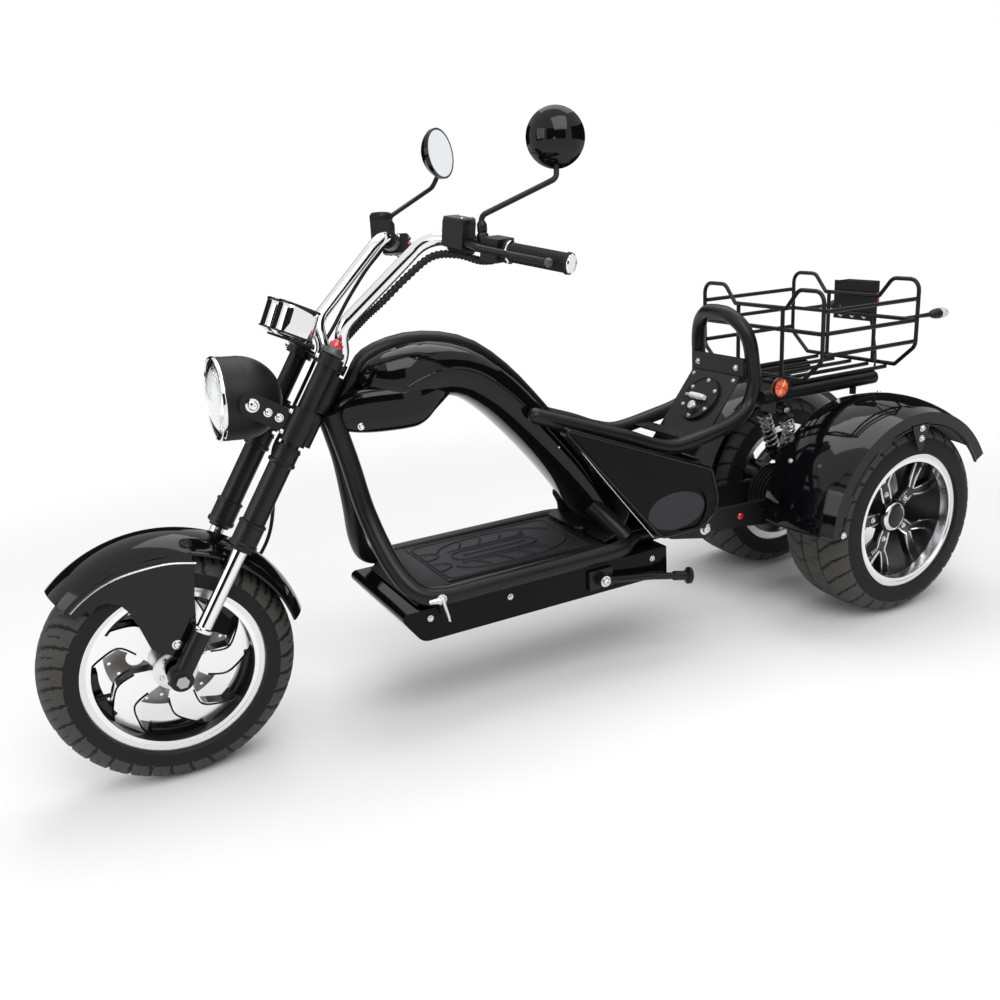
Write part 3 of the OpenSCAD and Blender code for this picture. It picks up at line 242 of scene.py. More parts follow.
# Swept pipes and lofts arrive as facets: these are welded and shaded smooth, with their rims kept sharp
FACETED = ["mirror_stems", "brake_levers", "basket_front", "basket_rear", "side_stand", "backbone", "arch_body",
           "rear_fender_left", "rear_fender_right"]
SHARP_ANGLE = radians(38)


def smooth_group():
    """Geometry nodes that shade a mesh smooth."""
    group = bpy.data.node_groups.new("shade_smooth", "GeometryNodeTree")
    group.interface.new_socket("Geometry", in_out="INPUT", socket_type="NodeSocketGeometry")
    group.interface.new_socket("Geometry", in_out="OUTPUT", socket_type="NodeSocketGeometry")
    source, sink = group.nodes.new("NodeGroupInput"), group.nodes.new("NodeGroupOutput")
    smooth = group.nodes.new("GeometryNodeSetShadeSmooth")
    group.links.new(source.outputs[0], smooth.inputs[0])
    group.links.new(smooth.outputs[0], sink.inputs[0])
    return group


SMOOTH = smooth_group()
for name in FACETED:
    weld = NODES[name].modifiers.new("weld", "WELD")
    weld.merge_threshold = 1e-5
    split = NODES[name].modifiers.new("split", "EDGE_SPLIT")
    split.split_angle = SHARP_ANGLE
    NODES[name].modifiers.new("smooth", "NODES").node_group = SMOOTH
    NODES[name].modifiers.new("normals", "WEIGHTED_NORMAL")


def piece(name, verts, faces, material, body, replaces=()):
    """One visible mesh on a body. material is one finish, or (finishes, slot of each face)."""
    mesh = bpy.data.meshes.new(name)
    mesh.from_pydata([tuple(v) for v in verts], [], faces)
    finishes, slots = material if isinstance(material, tuple) else ([material], None)
    for finish in finishes:
        mesh.materials.append(finish)
    if slots is not None:
        mesh.polygons.foreach_set("material_index", slots)
    mesh.validate()
    mesh.shade_smooth()
    mesh.set_sharp_from_angle(angle=SHARP_ANGLE)
    obj = bpy.data.objects.new(name, mesh)
    bpy.context.collection.objects.link(obj)
    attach(obj, body)
    if replaces:
        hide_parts(*replaces)
    return obj


def across(axis):
    """Two unit vectors square to axis and to each other."""
    axis = axis.normalized()
    first = axis.cross(Z if abs(axis.z) < 0.9 else X).normalized()
    return first, axis.cross(first)


def skin(rows, n, wrap=False):
    """Quads between rows of n points, each row a ring. wrap joins the last row to the first."""
    return [(i * n + k, i * n + (k + 1) % n, (i + 1) % rows * n + (k + 1) % n, (i + 1) % rows * n + k)
            for i in range(rows if wrap else rows - 1) for k in range(n)]


def capped(rows, n):
    """The same with a face over each end."""
    return skin(rows, n) + [tuple(range(n - 1, -1, -1)), tuple(range((rows - 1) * n, rows * n))]


def loft(rings):
    """Closed solid through rings of points of the same length."""
    return [p for ring in rings for p in ring], capped(len(rings), len(rings[0]))


def lathe(profile, origin, axis, steps=32, closed=False):
    """Solid of revolution with capped ends, or a closed ring. Profile rows: radius and way along, in millimetres."""
    axis = axis.normalized()
    u, v = across(axis)
    rows = [(r / 1000, h / 1000) for r, h in profile]
    verts = [origin + axis * h + (u * cos(2 * pi * k / steps) + v * sin(2 * pi * k / steps)) * r
             for r, h in rows for k in range(steps)]
    return verts, skin(len(rows), steps, True) if closed else capped(len(rows), steps)


def flow(points, per_span=8):
    """Smooth curve through points."""
    pts = [points[0], *points, points[-1]]
    path = []
    for a, b, c, d in zip(pts, pts[1:], pts[2:], pts[3:]):
        for k in range(per_span):
            t = k / per_span
            line = 2 * b + (c - a) * t
            path.append(0.5 * (line + (2 * a - 5 * b + 4 * c - d) * t ** 2 + (3 * b - a - 3 * c + d) * t ** 3))
    return path + [points[-1]]


# A bend takes up to this share of a run that ends the path, or that lies between two bends
END_SHARE, MID_SHARE = 0.95, 0.48


def bent(points, radii, steps=10):
    """Straight runs between points, joined by arcs of the given radii at the corners."""
    path, last = [points[0]], len(points) - 2
    for i, radius in enumerate(radii, 1):
        before, corner, after = points[i - 1:i + 2]
        into, out = (corner - before).normalized(), (after - corner).normalized()
        half = into.angle(out) / 2
        reach = min(radius * tan(half), (corner - before).length * (END_SHARE if i == 1 else MID_SHARE),
                    (after - corner).length * (END_SHARE if i == last else MID_SHARE))
        start, middle = corner - into * reach, reach / tan(half)
        hub = start + (out - into * into.dot(out)).normalized() * middle
        axis = into.cross(out).normalized()
        arm = start - hub
        path += [hub + Quaternion(axis, 2 * half * k / steps) @ arm for k in range(steps + 1)]
    return path + [points[-1]]


def tube(path, radius, sides=10, closed=False, flat=1.0):
    """Round tube along a path. radius, in millimetres, is a number or one per point; flat scales its second side."""
    n = len(path)
    radii = [r / 1000 for r in (radius if hasattr(radius, "__len__") else [radius] * n)]
    side = None
    verts = []
    for i, p in enumerate(path):
        a, b = (path[i - 1], path[(i + 1) % n]) if closed else (path[max(i - 1, 0)], path[min(i + 1, n - 1)])
        t = (b - a).normalized()
        side = across(t)[0] if side is None else (side - t * side.dot(t)).normalized()
        w = t.cross(side)
        verts += [p + radii[i] * (side * cos(2 * pi * k / sides) + w * flat * sin(2 * pi * k / sides))
                  for k in range(sides)]
    return verts, skin(n, sides, True) if closed else capped(n, sides)


def plate(outline, origin, ex, ey, depth, bevel):
    """Flat plate with a bevelled top: outline in the plane of ex and ey, standing depth off it."""
    ez = ex.cross(ey)
    n = len(outline)
    pts = [Vector(p) for p in outline]
    inset = []
    for k in range(n):
        a, b, c = pts[k - 1], pts[k], pts[(k + 1) % n]
        out_a, out_b = (b - a).normalized(), (c - b).normalized()
        normal = Vector((-(out_a.y + out_b.y), out_a.x + out_b.x)).normalized()
        inset.append(b + normal * bevel)
    rings = [[(p, 0) for p in pts], [(p, depth - bevel) for p in pts], [(p, depth) for p in inset]]
    return loft([[origin + ex * p.x + ey * p.y + ez * h for p, h in ring] for ring in rings])


class Batch:
    """Gathers small solids of one finish on one body into a single piece, made when all are in."""

    started = []

    def __init__(self, name, body, finish, slot=None, replaces=()):
        self.name, self.body, self.finish, self.slot, self.replaces = name, body, finish, slot, replaces
        self.verts, self.faces = [], []
        Batch.started.append(self)

    def add(self, solid):
        verts, faces = solid
        start = len(self.verts)
        self.verts += verts
        self.faces += [tuple(start + k for k in face) for face in faces]

    def turn(self, *args, **more):
        self.add(lathe(*args, **more))

    def tube(self, *args, **more):
        self.add(tube(*args, **more))

    def bolt(self, spot, axis, r):
        """Domed cap on a washer, its seat at spot and its radius r in millimetres."""
        self.turn([(1.45 * r, 0), (1.45 * r, 0.25 * r), (r, 0.3 * r)], spot, axis, 20)
        self.turn([(r, 0.28 * r), (r, 0.9 * r), (0.8 * r, 1.15 * r), (0.35 * r, 1.2 * r), (0.3 * r, 0.8 * r)],
                  spot, axis, 12)

    def done(self):
        obj = piece(self.name, self.verts, self.faces, self.finish, self.body, self.replaces)


def make_pieces():
    """Makes a piece of each batch started since the last call."""
    for batch in Batch.started:
        batch.done()
    Batch.started.clear()


# Painted light and shade on the tyres: the paler tread finish shows down to this depth, and out to this share of the
# way to the wall's foot; deeper groove floors keep the dark rubber as painted shade
GROOVE_SHADE_DEPTH, PAINTED_LIGHT_SHARE = 0.0012, 0.74


def grooved_tyre(name, node, wheel, body, radius, width, power, bead, cuts):
    """Tyre on the CAD section with its tread cut in: cuts(angle, y) gives the depth in metres at each point."""
    around, rows = 420, 46
    foot, seat = FLANGE_R + 0.0003, FLANGE_R - 0.0127
    s = np.linspace(-1, 1, rows)
    a = np.abs(s) * pi / 2
    rise = (radius - foot) * np.cos(a) ** (2 / power)
    side = np.sign(s) * width / 2 * np.sin(a) ** (2 / power)
    angle = np.arange(around) * 2 * pi / around
    grid_a, grid_s = np.meshgrid(angle, s)
    grid_y = np.repeat(side[:, None], around, 1)
    depth = cuts(grid_a, grid_y)
    r = foot + rise[:, None] - depth
    ends = [(foot, bead), (seat, bead), (seat, -bead), (foot, -bead)]
    rings = [(r[k], grid_y[k]) for k in range(rows)]
    rings += [(np.full(around, er), np.full(around, ey)) for er, ey in ends]
    verts = [(wheel.x + rr * cos(t), wheel.y + yy, wheel.z + rr * sin(t))
             for ring in rings for t, rr, yy in zip(angle, *ring)]
    n = len(rings)
    faces = [(a, d, c, b) for a, b, c, d in skin(n, around, True)]
    # The tread's outer faces take the paler rubber as painted light; the groove floors keep the dark rubber as
    # painted shade
    shown = (depth < GROOVE_SHADE_DEPTH) & (np.abs(grid_s) < PAINTED_LIGHT_SHARE)
    slots = [int(shown[i, k]) if i < rows else 0 for i in range(n) for k in range(around)]
    obj = piece(name, verts, faces, ([RUBBER, TREAD_PAINTED_LIGHT], slots), body, [node])


def groove(distance, half, depth):
    """Smooth-walled slot: full depth within half of its middle line."""
    return depth * np.clip((half - np.abs(distance)) / (0.35 * half), 0, 1)


def off_nearest(value, pitch):
    """Signed distance to the nearest multiple of pitch."""
    return (value + pitch / 2) % pitch - pitch / 2


FRONT_R, FRONT_GROOVES = 0.230, 34
REAR_R, REAR_GROOVES = 0.238, 30
REAR_LINE = 0.028


def front_cuts(a, y):
    """Slanted side grooves that curve back to the shoulder, a wavy middle pair, and short hooks between."""
    pitch = 2 * pi / FRONT_GROOVES
    reach = np.abs(y)
    depth = np.zeros_like(a)
    for side in SIDES:
        lean = (a if side > 0 else a + pitch / 2) - 3.2 * reach + 16.0 * reach ** 2
        on = (y * side > 0.006) & (reach < 0.0592)
        near = off_nearest(lean, pitch) * FRONT_R
        depth = np.maximum(depth, np.where(on, groove(near, 0.0042, 0.0045), 0))
        part = (y * side > 0.026) & (reach < 0.048)
        hook = off_nearest(lean + pitch / 2, pitch) * FRONT_R
        depth = np.maximum(depth, np.where(part, groove(hook, 0.0022, 0.0025), 0))
    wave = reach - 0.016 - 0.003 * np.sin(a * FRONT_GROOVES)
    return np.maximum(depth, groove(wave, 0.0022, 0.003))


def rear_cuts(a, y):
    """Two straight grooves round the tread, curved grooves out to each shoulder, short ones in the middle."""
    pitch = 2 * pi / REAR_GROOVES
    reach = np.abs(y)
    past = reach - REAR_LINE
    depth = groove(past, 0.0042, 0.0042)
    near = off_nearest(a - 4.6 * past + 22.0 * past ** 2, pitch) * REAR_R
    depth = np.maximum(depth, np.where((reach > 0.030) & (reach < 0.0995), groove(near, 0.0040, 0.0042), 0))
    middle = off_nearest(a + 5.0 * y, pitch) * REAR_R
    return np.maximum(depth, np.where(reach < 0.020, groove(middle, 0.0024, 0.003), 0))


grooved_tyre("front_tread", "front_tyre", FRONT, "front_wheel", FRONT_R, 0.122, 2.4, 0.0377, front_cuts)
for side in ("left", "right"):
    grooved_tyre("rear_tread_" + side, "rear_tyre_" + side, REAR[side], "rear_wheel_" + side, REAR_R, 0.206, 3.4,
                 0.0847, rear_cuts)

# Rear rims: bright machined edges along the forked spokes, a cap on the hub, a polished ring on the outer lip
SPOKES = 5
SPOKE_TURN = 360 / SPOKES
STEM = [(0.042, 16), (0.066, 12), (0.084, 9)]
PRONG = [(0.088, 9.5), (0.112, 17), (0.144, 20)]
CROTCH = [(0.144, 10.5), (0.112, 6.5), (0.092, 0.8)]


def polar(wheel, r, degrees, y):
    """Point on a wheel, its angle counted from ahead and downward."""
    t = radians(degrees)
    return wheel + Vector((r * cos(t), y, -r * sin(t)))


for side, way in (("left", 1), ("right", -1)):
    wheel, body = REAR[side], "rear_wheel_" + side
    face = way * 0.0382
    edges = Batch("spoke_edges_" + side, body, ALLOY, slot="alloy")
    for k in range(SPOKES):
        for flip in SIDES:
            for line in (STEM + PRONG, CROTCH):
                path = flow([polar(wheel, r, k * SPOKE_TURN + flip * d, face) for r, d in line], 5)
                edges.tube(path, 3.2, 8)
    edges.turn([(162, 0), (165.2, 1), (165.2, 2.6), (159, 2.6), (153.5, 1.2), (153.5, 0)], wheel + Y * way * 0.0928,
               Y * way, 96, closed=True)
    cap = Batch("hub_cap_" + side, body, GLOSS)
    cap.turn([(41.5, 0), (41.5, 4), (34, 10), (22, 13), (10, 14)], wheel + Y * way * 0.0432, Y * way, 48)
    cap.tube([polar(wheel, 0.146, 36, way * 0.060), polar(wheel, 0.132, 36, way * 0.066),
              polar(wheel, 0.118, 36, way * 0.074)], [5.5, 4.5, 3.5], 12)
    ring = Batch("hub_bright_" + side, body, ALLOY, slot="alloy")
    ring.turn([(26.2, 4), (27.2, 6.2), (33.5, 4.2), (36.2, 1), (35, -1)], wheel + Y * way * 0.0516, Y * way, 48,
              closed=True)
    for k in range(SPOKES):
        ring.bolt(polar(wheel, 0.060, k * SPOKE_TURN, way * 0.0386), Y * way, 4.6)

# Front rim: dark lining along each window, hub covers, valve
dark = Batch("front_window_lines", "front_wheel", GLOSS)
# Columns: radius, angles of a blade's two edges
BLADE = [(0.070, 0, 42), (0.104, 9, 40), (0.130, 25, 54), (0.145, 34, 62)]
for way in SIDES:
    for k in range(SPOKES):
        for edge, inset in ((1, 0.112), (2, -0.112)):
            path = flow([polar(FRONT, row[0], row[edge] + inset / row[0] + SPOKE_TURN * k, way * 0.0160)
                         for row in BLADE], 5)
            dark.tube(path, 3.4, 10, flat=0.5)
dark.tube([polar(FRONT, 0.146, 10, 0.030), polar(FRONT, 0.130, 10, 0.032), polar(FRONT, 0.116, 10, 0.036)],
          [5.5, 4.5, 3.5], 12)
# Black bands of the rim between the blades' ends
BAND = [(0.1300, 0.0150), (0.1310, 0.0166), (0.1440, 0.0172), (0.1452, 0.0160), (0.1452, -0.0160), (0.1440, -0.0172),
        (0.1310, -0.0166), (0.1300, -0.0150)]
for k in range(SPOKES):
    dark.add(loft([[polar(FRONT, r, 64 + a + SPOKE_TURN * k, y) for r, y in BAND] for a in range(0, 41, 2)]))
hub = Batch("front_hub_covers", "front_wheel", ALLOY, slot="alloy")
hub.turn([(40.5, -0.6), (40.5, 2), (36, 4), (20, 4.5), (19, 0)], FRONT + Y * 0.0420, Y, 48)
for k in range(SPOKES):
    hub.bolt(polar(FRONT, 0.029, SPOKE_TURN * k + 20, 0.0462), Y, 4)
    hub.bolt(polar(FRONT, 0.022, SPOKE_TURN * k + 20, -0.0620), -Y, 4)
for way in SIDES:
    hub.turn([(163, 0), (165.2, 1.2), (165.2, 2.4), (161, 2.4), (153.5, 1), (153.5, 0)], FRONT + Y * way * 0.0458,
             Y * way, 96, closed=True)

# Fork: grey caps with red buttons, chrome nuts, axle covers
caps = Batch("fork_caps", "steering", GREY)
buttons = Batch("fork_buttons", "steering", RED)
bright = Batch("fork_bright", "steering", CHROME, slot="chrome")
collar = Batch("fork_collars", "steering", SATIN)
for side in SIDES:
    top = on_leg(FORK_LENGTH, side)
    caps.turn([(21.5, -1), (21.5, 5), (19.5, 9), (11.5, 9.5)], top, LEG_U, 32)
    caps.turn([(15, 9), (15, 12), (14, 13.2), (10, 13.4)], top, LEG_U, 6)
    buttons.turn([(12.5, 12.8), (12.5, 21), (11.6, 22.6), (8.5, 23), (8, 26.2), (6.2, 27.8), (2, 28.2)],
                 top, LEG_U, 32)
    for s, r, h in ((270, 26.2, 6), (312, 25.6, 4), (436, 25.2, 5), (462, 24.4, 4)):
        collar.turn([(r - 3, -h), (r, -h / 2), (r, h / 2), (r - 3, h)], on_leg(s, side), LEG_U, 40)
    collar.turn([(14.8, 0), (19.5, 1), (19.5, 10), (14.8, 14)], on_leg(258, side), LEG_U, 36)
    bright.turn([(18, 0), (18.8, 2), (18.8, 7), (14.5, 9)], on_leg(95, side), LEG_U, 36)
    for s in (488, 528, 638):
        bright.bolt(on_leg(s, side) + LEG_N * 0.0248 + Y * side * 0.006, LEG_N, 4.5)
    bright.bolt(on_leg(60, side) - LEG_N * 0.0168, -LEG_N, 4.5)

# Headlight: bright bezel, bowl and bulb behind the lens, bolts in the bracket's ears
LAMP_AT = on_leg(508) + LEG_N * 0.092
lamp = Batch("headlight_bright", "steering", CHROME, slot="chrome")
lamp.turn([(73.8, 38.5), (77.2, 39), (77.8, 42), (76.5, 45.2), (73.5, 46), (72.2, 44)], LAMP_AT, HEADLIGHT_AXIS, 72,
          closed=True)
lamp.turn([(62, 23.6), (50, 15.5), (34, 10), (14, 7.2), (14, 6.6), (34, 9.2), (51, 14.6), (63, 23)], LAMP_AT,
          HEADLIGHT_AXIS, 64, closed=True)
lamp.turn([(6, 7.2), (8.5, 13), (8.5, 18), (5, 21.5), (1, 22.2)], LAMP_AT, HEADLIGHT_AXIS, 24)
for side in SIDES:
    lamp.bolt(LAMP_AT + Y * side * 0.0921, Y * side, 8.5)
    for back in (0.030, 0.052):
        lamp.bolt(LAMP_AT - LEG_N * back + Y * side * 0.0921, Y * side, 5.5)
seam = Batch("headlight_seams", "steering", MATTE)
for h in (0, 30):
    seam.turn([(74.4, h - 2.5), (76.4, h - 1), (76.4, h + 1), (74.4, h + 2.5)], LAMP_AT, HEADLIGHT_AXIS, 72,
              closed=True)


def rounded_box(w, h, r, n=6):
    """Outline of a rounded rectangle."""
    corners = ((w / 2 - r, h / 2 - r, 0), (r - w / 2, h / 2 - r, 90), (r - w / 2, r - h / 2, 180),
               (w / 2 - r, r - h / 2, 270))
    return [(x + r * cos(radians(a + 90 * k / n)), y + r * sin(radians(a + 90 * k / n)))
            for x, y, a in corners for k in range(n + 1)]


# Gauges: dark rims round the bright pods, dials with ticks and needles
POD_X = Vector((cos(radians(26)), 0, sin(radians(26))))
POD_Z = Vector((-POD_X.z, 0, POD_X.x))
POD_AT = at(1335.6, 0, 830.7)
POD_L, POD_W, POD_R = 0.070, 0.060, 0.018
# Columns: height over the pod's middle, how far the ring lies in from the pod's outside
CUP = [(-0.0300, 0.0130), (-0.0292, 0.0085), (-0.0272, 0.0044), (-0.0240, 0.0014), (-0.0200, 0.0), (0.0, 0.0),
       (0.0200, 0.0), (0.0284, 0.0), (0.0300, 0.0012), (0.0296, 0.0030), (0.0211, 0.0032)]
TICK = [(0.0165, -0.0006), (0.0202, -0.0006), (0.0202, 0.0006), (0.0165, 0.0006)]
NEEDLE = [(-0.004, -0.0009), (0.0150, -0.0003), (0.0150, 0.0003), (-0.004, 0.0009)]
cups = Batch("gauge_cups", "steering", CHROME, replaces=["gauge_pods"])
rims = Batch("gauge_rims", "steering", GLOSS)
faces_dark = Batch("gauge_faces", "steering", PLASTIC)
marks = Batch("gauge_marks", "steering", WHITE)
for side in SIDES:
    mid = POD_AT + Y * side * 0.038
    cups.add(loft([[mid + POD_X * x + Y * y + POD_Z * h
                    for x, y in rounded_box(POD_L - 2 * d, POD_W - 2 * d, POD_R - d, 8)] for h, d in CUP]))
    edge = [mid + POD_X * x + Y * y + POD_Z * 0.0296
            for x, y in rounded_box(POD_L - 0.003, POD_W - 0.003, POD_R - 0.0015)]
    rims.tube(edge, 3, 8, closed=True)
    low = [mid + POD_X * x + Y * y - POD_Z * 0.0225 for x, y in rounded_box(POD_L + 0.0002, POD_W + 0.0002, POD_R)]
    rims.tube(low, 2, 8, closed=True)
    face = rounded_box(POD_L - 0.0074, POD_W - 0.0074, POD_R - 0.0035)
    faces_dark.add(plate(face, mid + POD_Z * 0.0211, POD_X, Y, 0.0022, 0.0008))
    dial = mid + POD_Z * 0.0233
    faces_dark.turn([(23.8, 0), (23.8, 2), (22.2, 2.6), (21.5, 0.8)], dial, POD_Z, 48)
    hands = [(-120 + 24 * k, TICK, 0.0009, 0.0006, 0.0001) for k in range(11)]
    for degrees, outline, lift, depth, bevel in hands + [(-70, NEEDLE, 0.0010, 0.0010, 0.0002)]:
        t = radians(degrees)
        out, turn = POD_X * cos(t) + Y * sin(t), Y * cos(t) - POD_X * sin(t)
        marks.add(plate(outline, dial + POD_Z * lift, out, turn, depth, bevel))
    faces_dark.turn([(3.2, 0), (3.2, 2.6), (2, 3.2)], dial, POD_Z, 24)

# Bar: ribbed grips with bright ends, buttons, reservoir lids, lever ends
BAR_TIP, BAR_CORNER = (946.5, 370, 913.7), (1092.5, 116, 965.7)


def mirrored_point(p, side):
    """Point given for the left side, on the side asked for."""
    return at(p[0], p[1] * side, p[2])


def bar_frame(side):
    """Bar's axis to its middle, forward and up, and a function from stations to points."""
    tip, corner = mirrored_point(BAR_TIP, side), mirrored_point(BAR_CORNER, side)
    along = (corner - tip).normalized()
    ahead = Z.cross(along).normalized() * side
    up = along.cross(ahead).normalized() * side
    return along, ahead, up, lambda s, x, y: tip + (along * s + ahead * x + up * y) / 1000


# Middle of a reservoir's lid: along the bar from its tip, and ahead of it
LID_S, LID_X = 224, 12
grips = Batch("ribbed_grips", "steering", RUBBER, replaces=["grips"])
ends = Batch("grip_rings", "steering", CHROME, slot="chrome")
knobs = Batch("switch_buttons", "steering", GREY)
stops = Batch("stop_buttons", "steering", RED)
lids = Batch("reservoir_lids", "steering", SATIN)
screws = Batch("bar_screws", "steering", ZINC, slot="steel")
for side in SIDES:
    along, ahead, up, spot = bar_frame(side)
    ribs = [(11, 0.4), (18.5, 0.6), (19, 7)]
    for s in range(10, 120, 5):
        ribs += [(15.8, s), (17, s + 1.2), (17, s + 3.4), (15.8, s + 4.6)]
    ribs += [(19.5, 122), (20, 124), (20, 127.6), (11.2, 127.8)]
    grips.turn(ribs, spot(0, 0, 0), along, 36)
    ends.turn([(10, -4), (15, -3.5), (17.2, -1), (17.2, 0.6), (10, 0.6)], spot(0, 0, 0), along, 36)
    ends.turn([(17.2, 118), (20.3, 119), (20.3, 121.6), (17.2, 122.6)], spot(0, 0, 0), along, 36, closed=True)
    for k, (y, r) in enumerate(((11, 4.0), (0, 5.0), (-11, 4.0))):
        batch = stops if k == 1 and side < 0 else knobs
        batch.turn([(r, 0), (r, 4), (0.8 * r, 5.5), (0.3 * r, 6)], spot(152, -30.8, y), -ahead, 20)
    lid_mid = spot(LID_S, LID_X, 37.8)
    if side > 0:
        lids.add(plate(rounded_box(0.042, 0.046, 0.006), lid_mid, ahead, up.cross(ahead), 0.007, 0.002))
        for dx in (-15, 15):
            for ds in (-16, 16):
                screws.bolt(spot(LID_S + ds, LID_X + dx, 44.8), up, 2.2)
    else:
        lids.turn([(21.5, 0), (22.5, 2), (22.5, 12), (20.5, 16), (6, 16.5)], lid_mid, up, 40)
        for k in range(20):
            t = 2 * pi * k / 20
            out = ahead * cos(t) + up.cross(ahead) * sin(t)
            lids.tube([lid_mid + out * 0.0225 + up * h for h in (0.002, 0.012)], 1.2, 6)
    knobs.turn([(2, -7.5), (6, -6), (8, -1), (8, 1), (6, 6), (2, 7.5)], spot(28, 28, 0), ahead, 24)
    for s in (208, 240):
        screws.bolt(spot(s, -18, 9), -ahead, 3)

# Mirror stems: nuts at the bar and a round collar over each
necks = Batch("mirror_necks", "steering", SATIN)
for side in SIDES:
    base = mirrored_point((1033.7, 218.3, 956.8), side)
    necks.turn([(10.5, -2), (10.5, 9), (8, 12), (6.2, 16)], base, Z, 6)
    necks.turn([(6.2, 10), (8.8, 14), (8.8, 26), (5.8, 32)], base, Z, 28)

# Risers with the wide bend of the real ones
RISER = [(1270.5, 56, 749), (1259.5, 56, 765.7), (1264.5, 72.8, 815.7), (1092.5, 116, 965.7), (1072.9, 150.1, 958.7)]
RISER_BENDS = [0.040, 0.060, 0.080]
risers = Batch("smooth_risers", "steering", CHROME, slot="chrome", replaces=["risers"])
for side in SIDES:
    risers.tube(bent([mirrored_point(p, side) for p in RISER], RISER_BENDS), 12.5, 32)


# Cords: loom from the left switch to the top clamp, brake hose up the right leg, lamp lead at the back
def add_cord(name, body, points, r, finish, sleeve=False):
    """Cord on a smooth curve through points, with the rings of a corrugated sleeve where asked."""
    path = flow(points, 24 if sleeve else 7)
    radii = [r * (0.80 + 0.20 * (k % 4 > 1)) for k in range(len(path))] if sleeve else r
    obj = piece(name, *tube(path, radii, 12), finish, body)


LOOM = [(1024, 235, 922), (1040, 210, 922), (1064, 170, 933), (1096, 128, 930), (1140, 105, 896), (1186, 90, 856),
        (1214, 76, 832), (1234, 54, 808), (1250, 30, 784), (1262, 8, 756)]
make_pieces()
add_cord("bar_loom", "steering", [at(*p) for p in LOOM], 7.5, PLASTIC, sleeve=True)
# Columns: up the leg in millimetres, behind it and out to the right in metres
LOW_HOSE = [(133, 0.074, 0.062), (165, 0.080, 0.072), (215, 0.096, 0.082), (275, 0.098, 0.082), (335, 0.080, 0.080),
            (390, 0.055, 0.084)]
HOSE = [on_leg(s) - LEG_N * back - Y * out for s, back, out in LOW_HOSE]
HOSE += [on_leg(s, -1) - LEG_N * 0.034 for s in (440, 490, 540, 600, 650)]
HOSE += [at(1222, -98, 800), at(1180, -116, 848), at(1128, -140, 898), at(1085, -163, 930), at(1066, -172, 948)]
add_cord("brake_hose", "steering", HOSE, 3.6, RUBBER)
LEAD = [(-122, 34, 716), (-128, 37, 700), (-130, 44, 678), (-126, 58, 650), (-116, 76, 620), (-98, 96, 594),
        (-80, 110, 575), (-68, 116, 566)]
add_cord("lamp_lead", "chassis", [at(*p) for p in LEAD], 2.8, RUBBER)


def on_side(node, x, z, side):
    """Point on a node's flank, seen square from the side, or None."""
    hit, spot, _, _ = node.ray_cast(at(x, 400 * side, z), Y * -side)
    return spot if hit else None


# Lines along the arch's sides
SWOOSH = [(1180, 672), (1150, 690), (1110, 706), (1050, 716), (993, 700), (935, 657), (885, 606), (835, 547),
          (784, 483), (745, 425)]
lines = Batch("arch_lines", "chassis", GLOSS)
for side in SIDES:
    spots = [on_side(NODES["arch_body"], x, z, side) for x, z in SWOOSH]
    path = flow([p for p in spots if p], 6)
    lines.tube(path, [3.2 * sin(pi * (k + 1) / (len(path) + 1)) ** 0.5 for k in range(len(path))], 8)

# Chin of the arch under its front end. Columns: X, bottom, top, half width
CHIN = [(1280, 624, 666, 24), (1264, 615, 680, 36), (1240, 609, 692, 50), (1210, 606, 698, 61), (1178, 605, 700, 69),
        (1150, 605, 700, 73.5), (1126, 607, 700, 74.5), (1106, 616, 700, 73), (1088, 631, 698, 69),
        (1068, 645, 696, 62), (1044, 660, 694, 50), (1020, 672, 690, 34)]
chin = Batch("arch_chin", "chassis", GLOSS)


def rounded(share):
    """Cosine or sine drawn out to the section of a rounded box."""
    return np.sign(share) * abs(share) ** 0.45


sections = []
fine = flow([Vector((x, low, high)) for x, low, high, _ in CHIN], 4)
wide = flow([Vector((w, 0, 0)) for _, _, _, w in CHIN], 4)
for (x, low, high), half in zip(fine, wide):
    mid, tall = (low + high) / 2, (high - low) / 2
    sections.append([at(x, half.x * rounded(cos(q)), mid + tall * rounded(sin(q)))
                     for q in (2 * pi * k / 60 for k in range(60))])
chin.add(loft(sections))
screws = Batch("chin_screws", "chassis", CHROME)
for side in SIDES:
    screws.bolt(at(1240, 49.6 * side, 626), Y * side, 4.8)
    screws.bolt(at(822, 77 * side, 520), Y * side, 4.8)


# Section of a bent plate with eased edges, in shares of its half width and half thickness
SHEET_SECTION = [(-1, 0.4), (-0.985, 1), (0.985, 1), (1, 0.4), (1, -0.4), (0.985, -1), (-0.985, -1), (-1, -0.4)]


def sheet_strip(batch, profile, half, thick):
    """Bent plate: its profile of X and z runs across the vehicle, both ways from the middle."""
    path = flow([at(x, 0, z) for x, z in profile], 6)
    rings = []
    for i, p in enumerate(path):
        step = path[min(i + 1, len(path) - 1)] - path[max(i - 1, 0)]
        up = Vector((-step.z, 0, step.x)).normalized() * thick / 2
        rings.append([p + Y * half * w + up * h for w, h in SHEET_SECTION])
    batch.add(loft(rings))


# Apron ahead of the mat, cover at the arch's foot with the pan under the seat
apron = Batch("deck_apron", "chassis", MAT_RUBBER)
sheet_strip(apron, [(1122, 296), (1150, 293), (1176, 283), (1198, 267)], 0.130, 0.005)
cover = Batch("foot_cover", "chassis", PLASTIC)
sheet_strip(cover, [(748, 300), (716, 310), (690, 334), (672, 372)], 0.126, 0.005)
sheet_strip(cover, [(716, 303), (660, 306), (580, 306), (505, 306)], 0.120, 0.004)

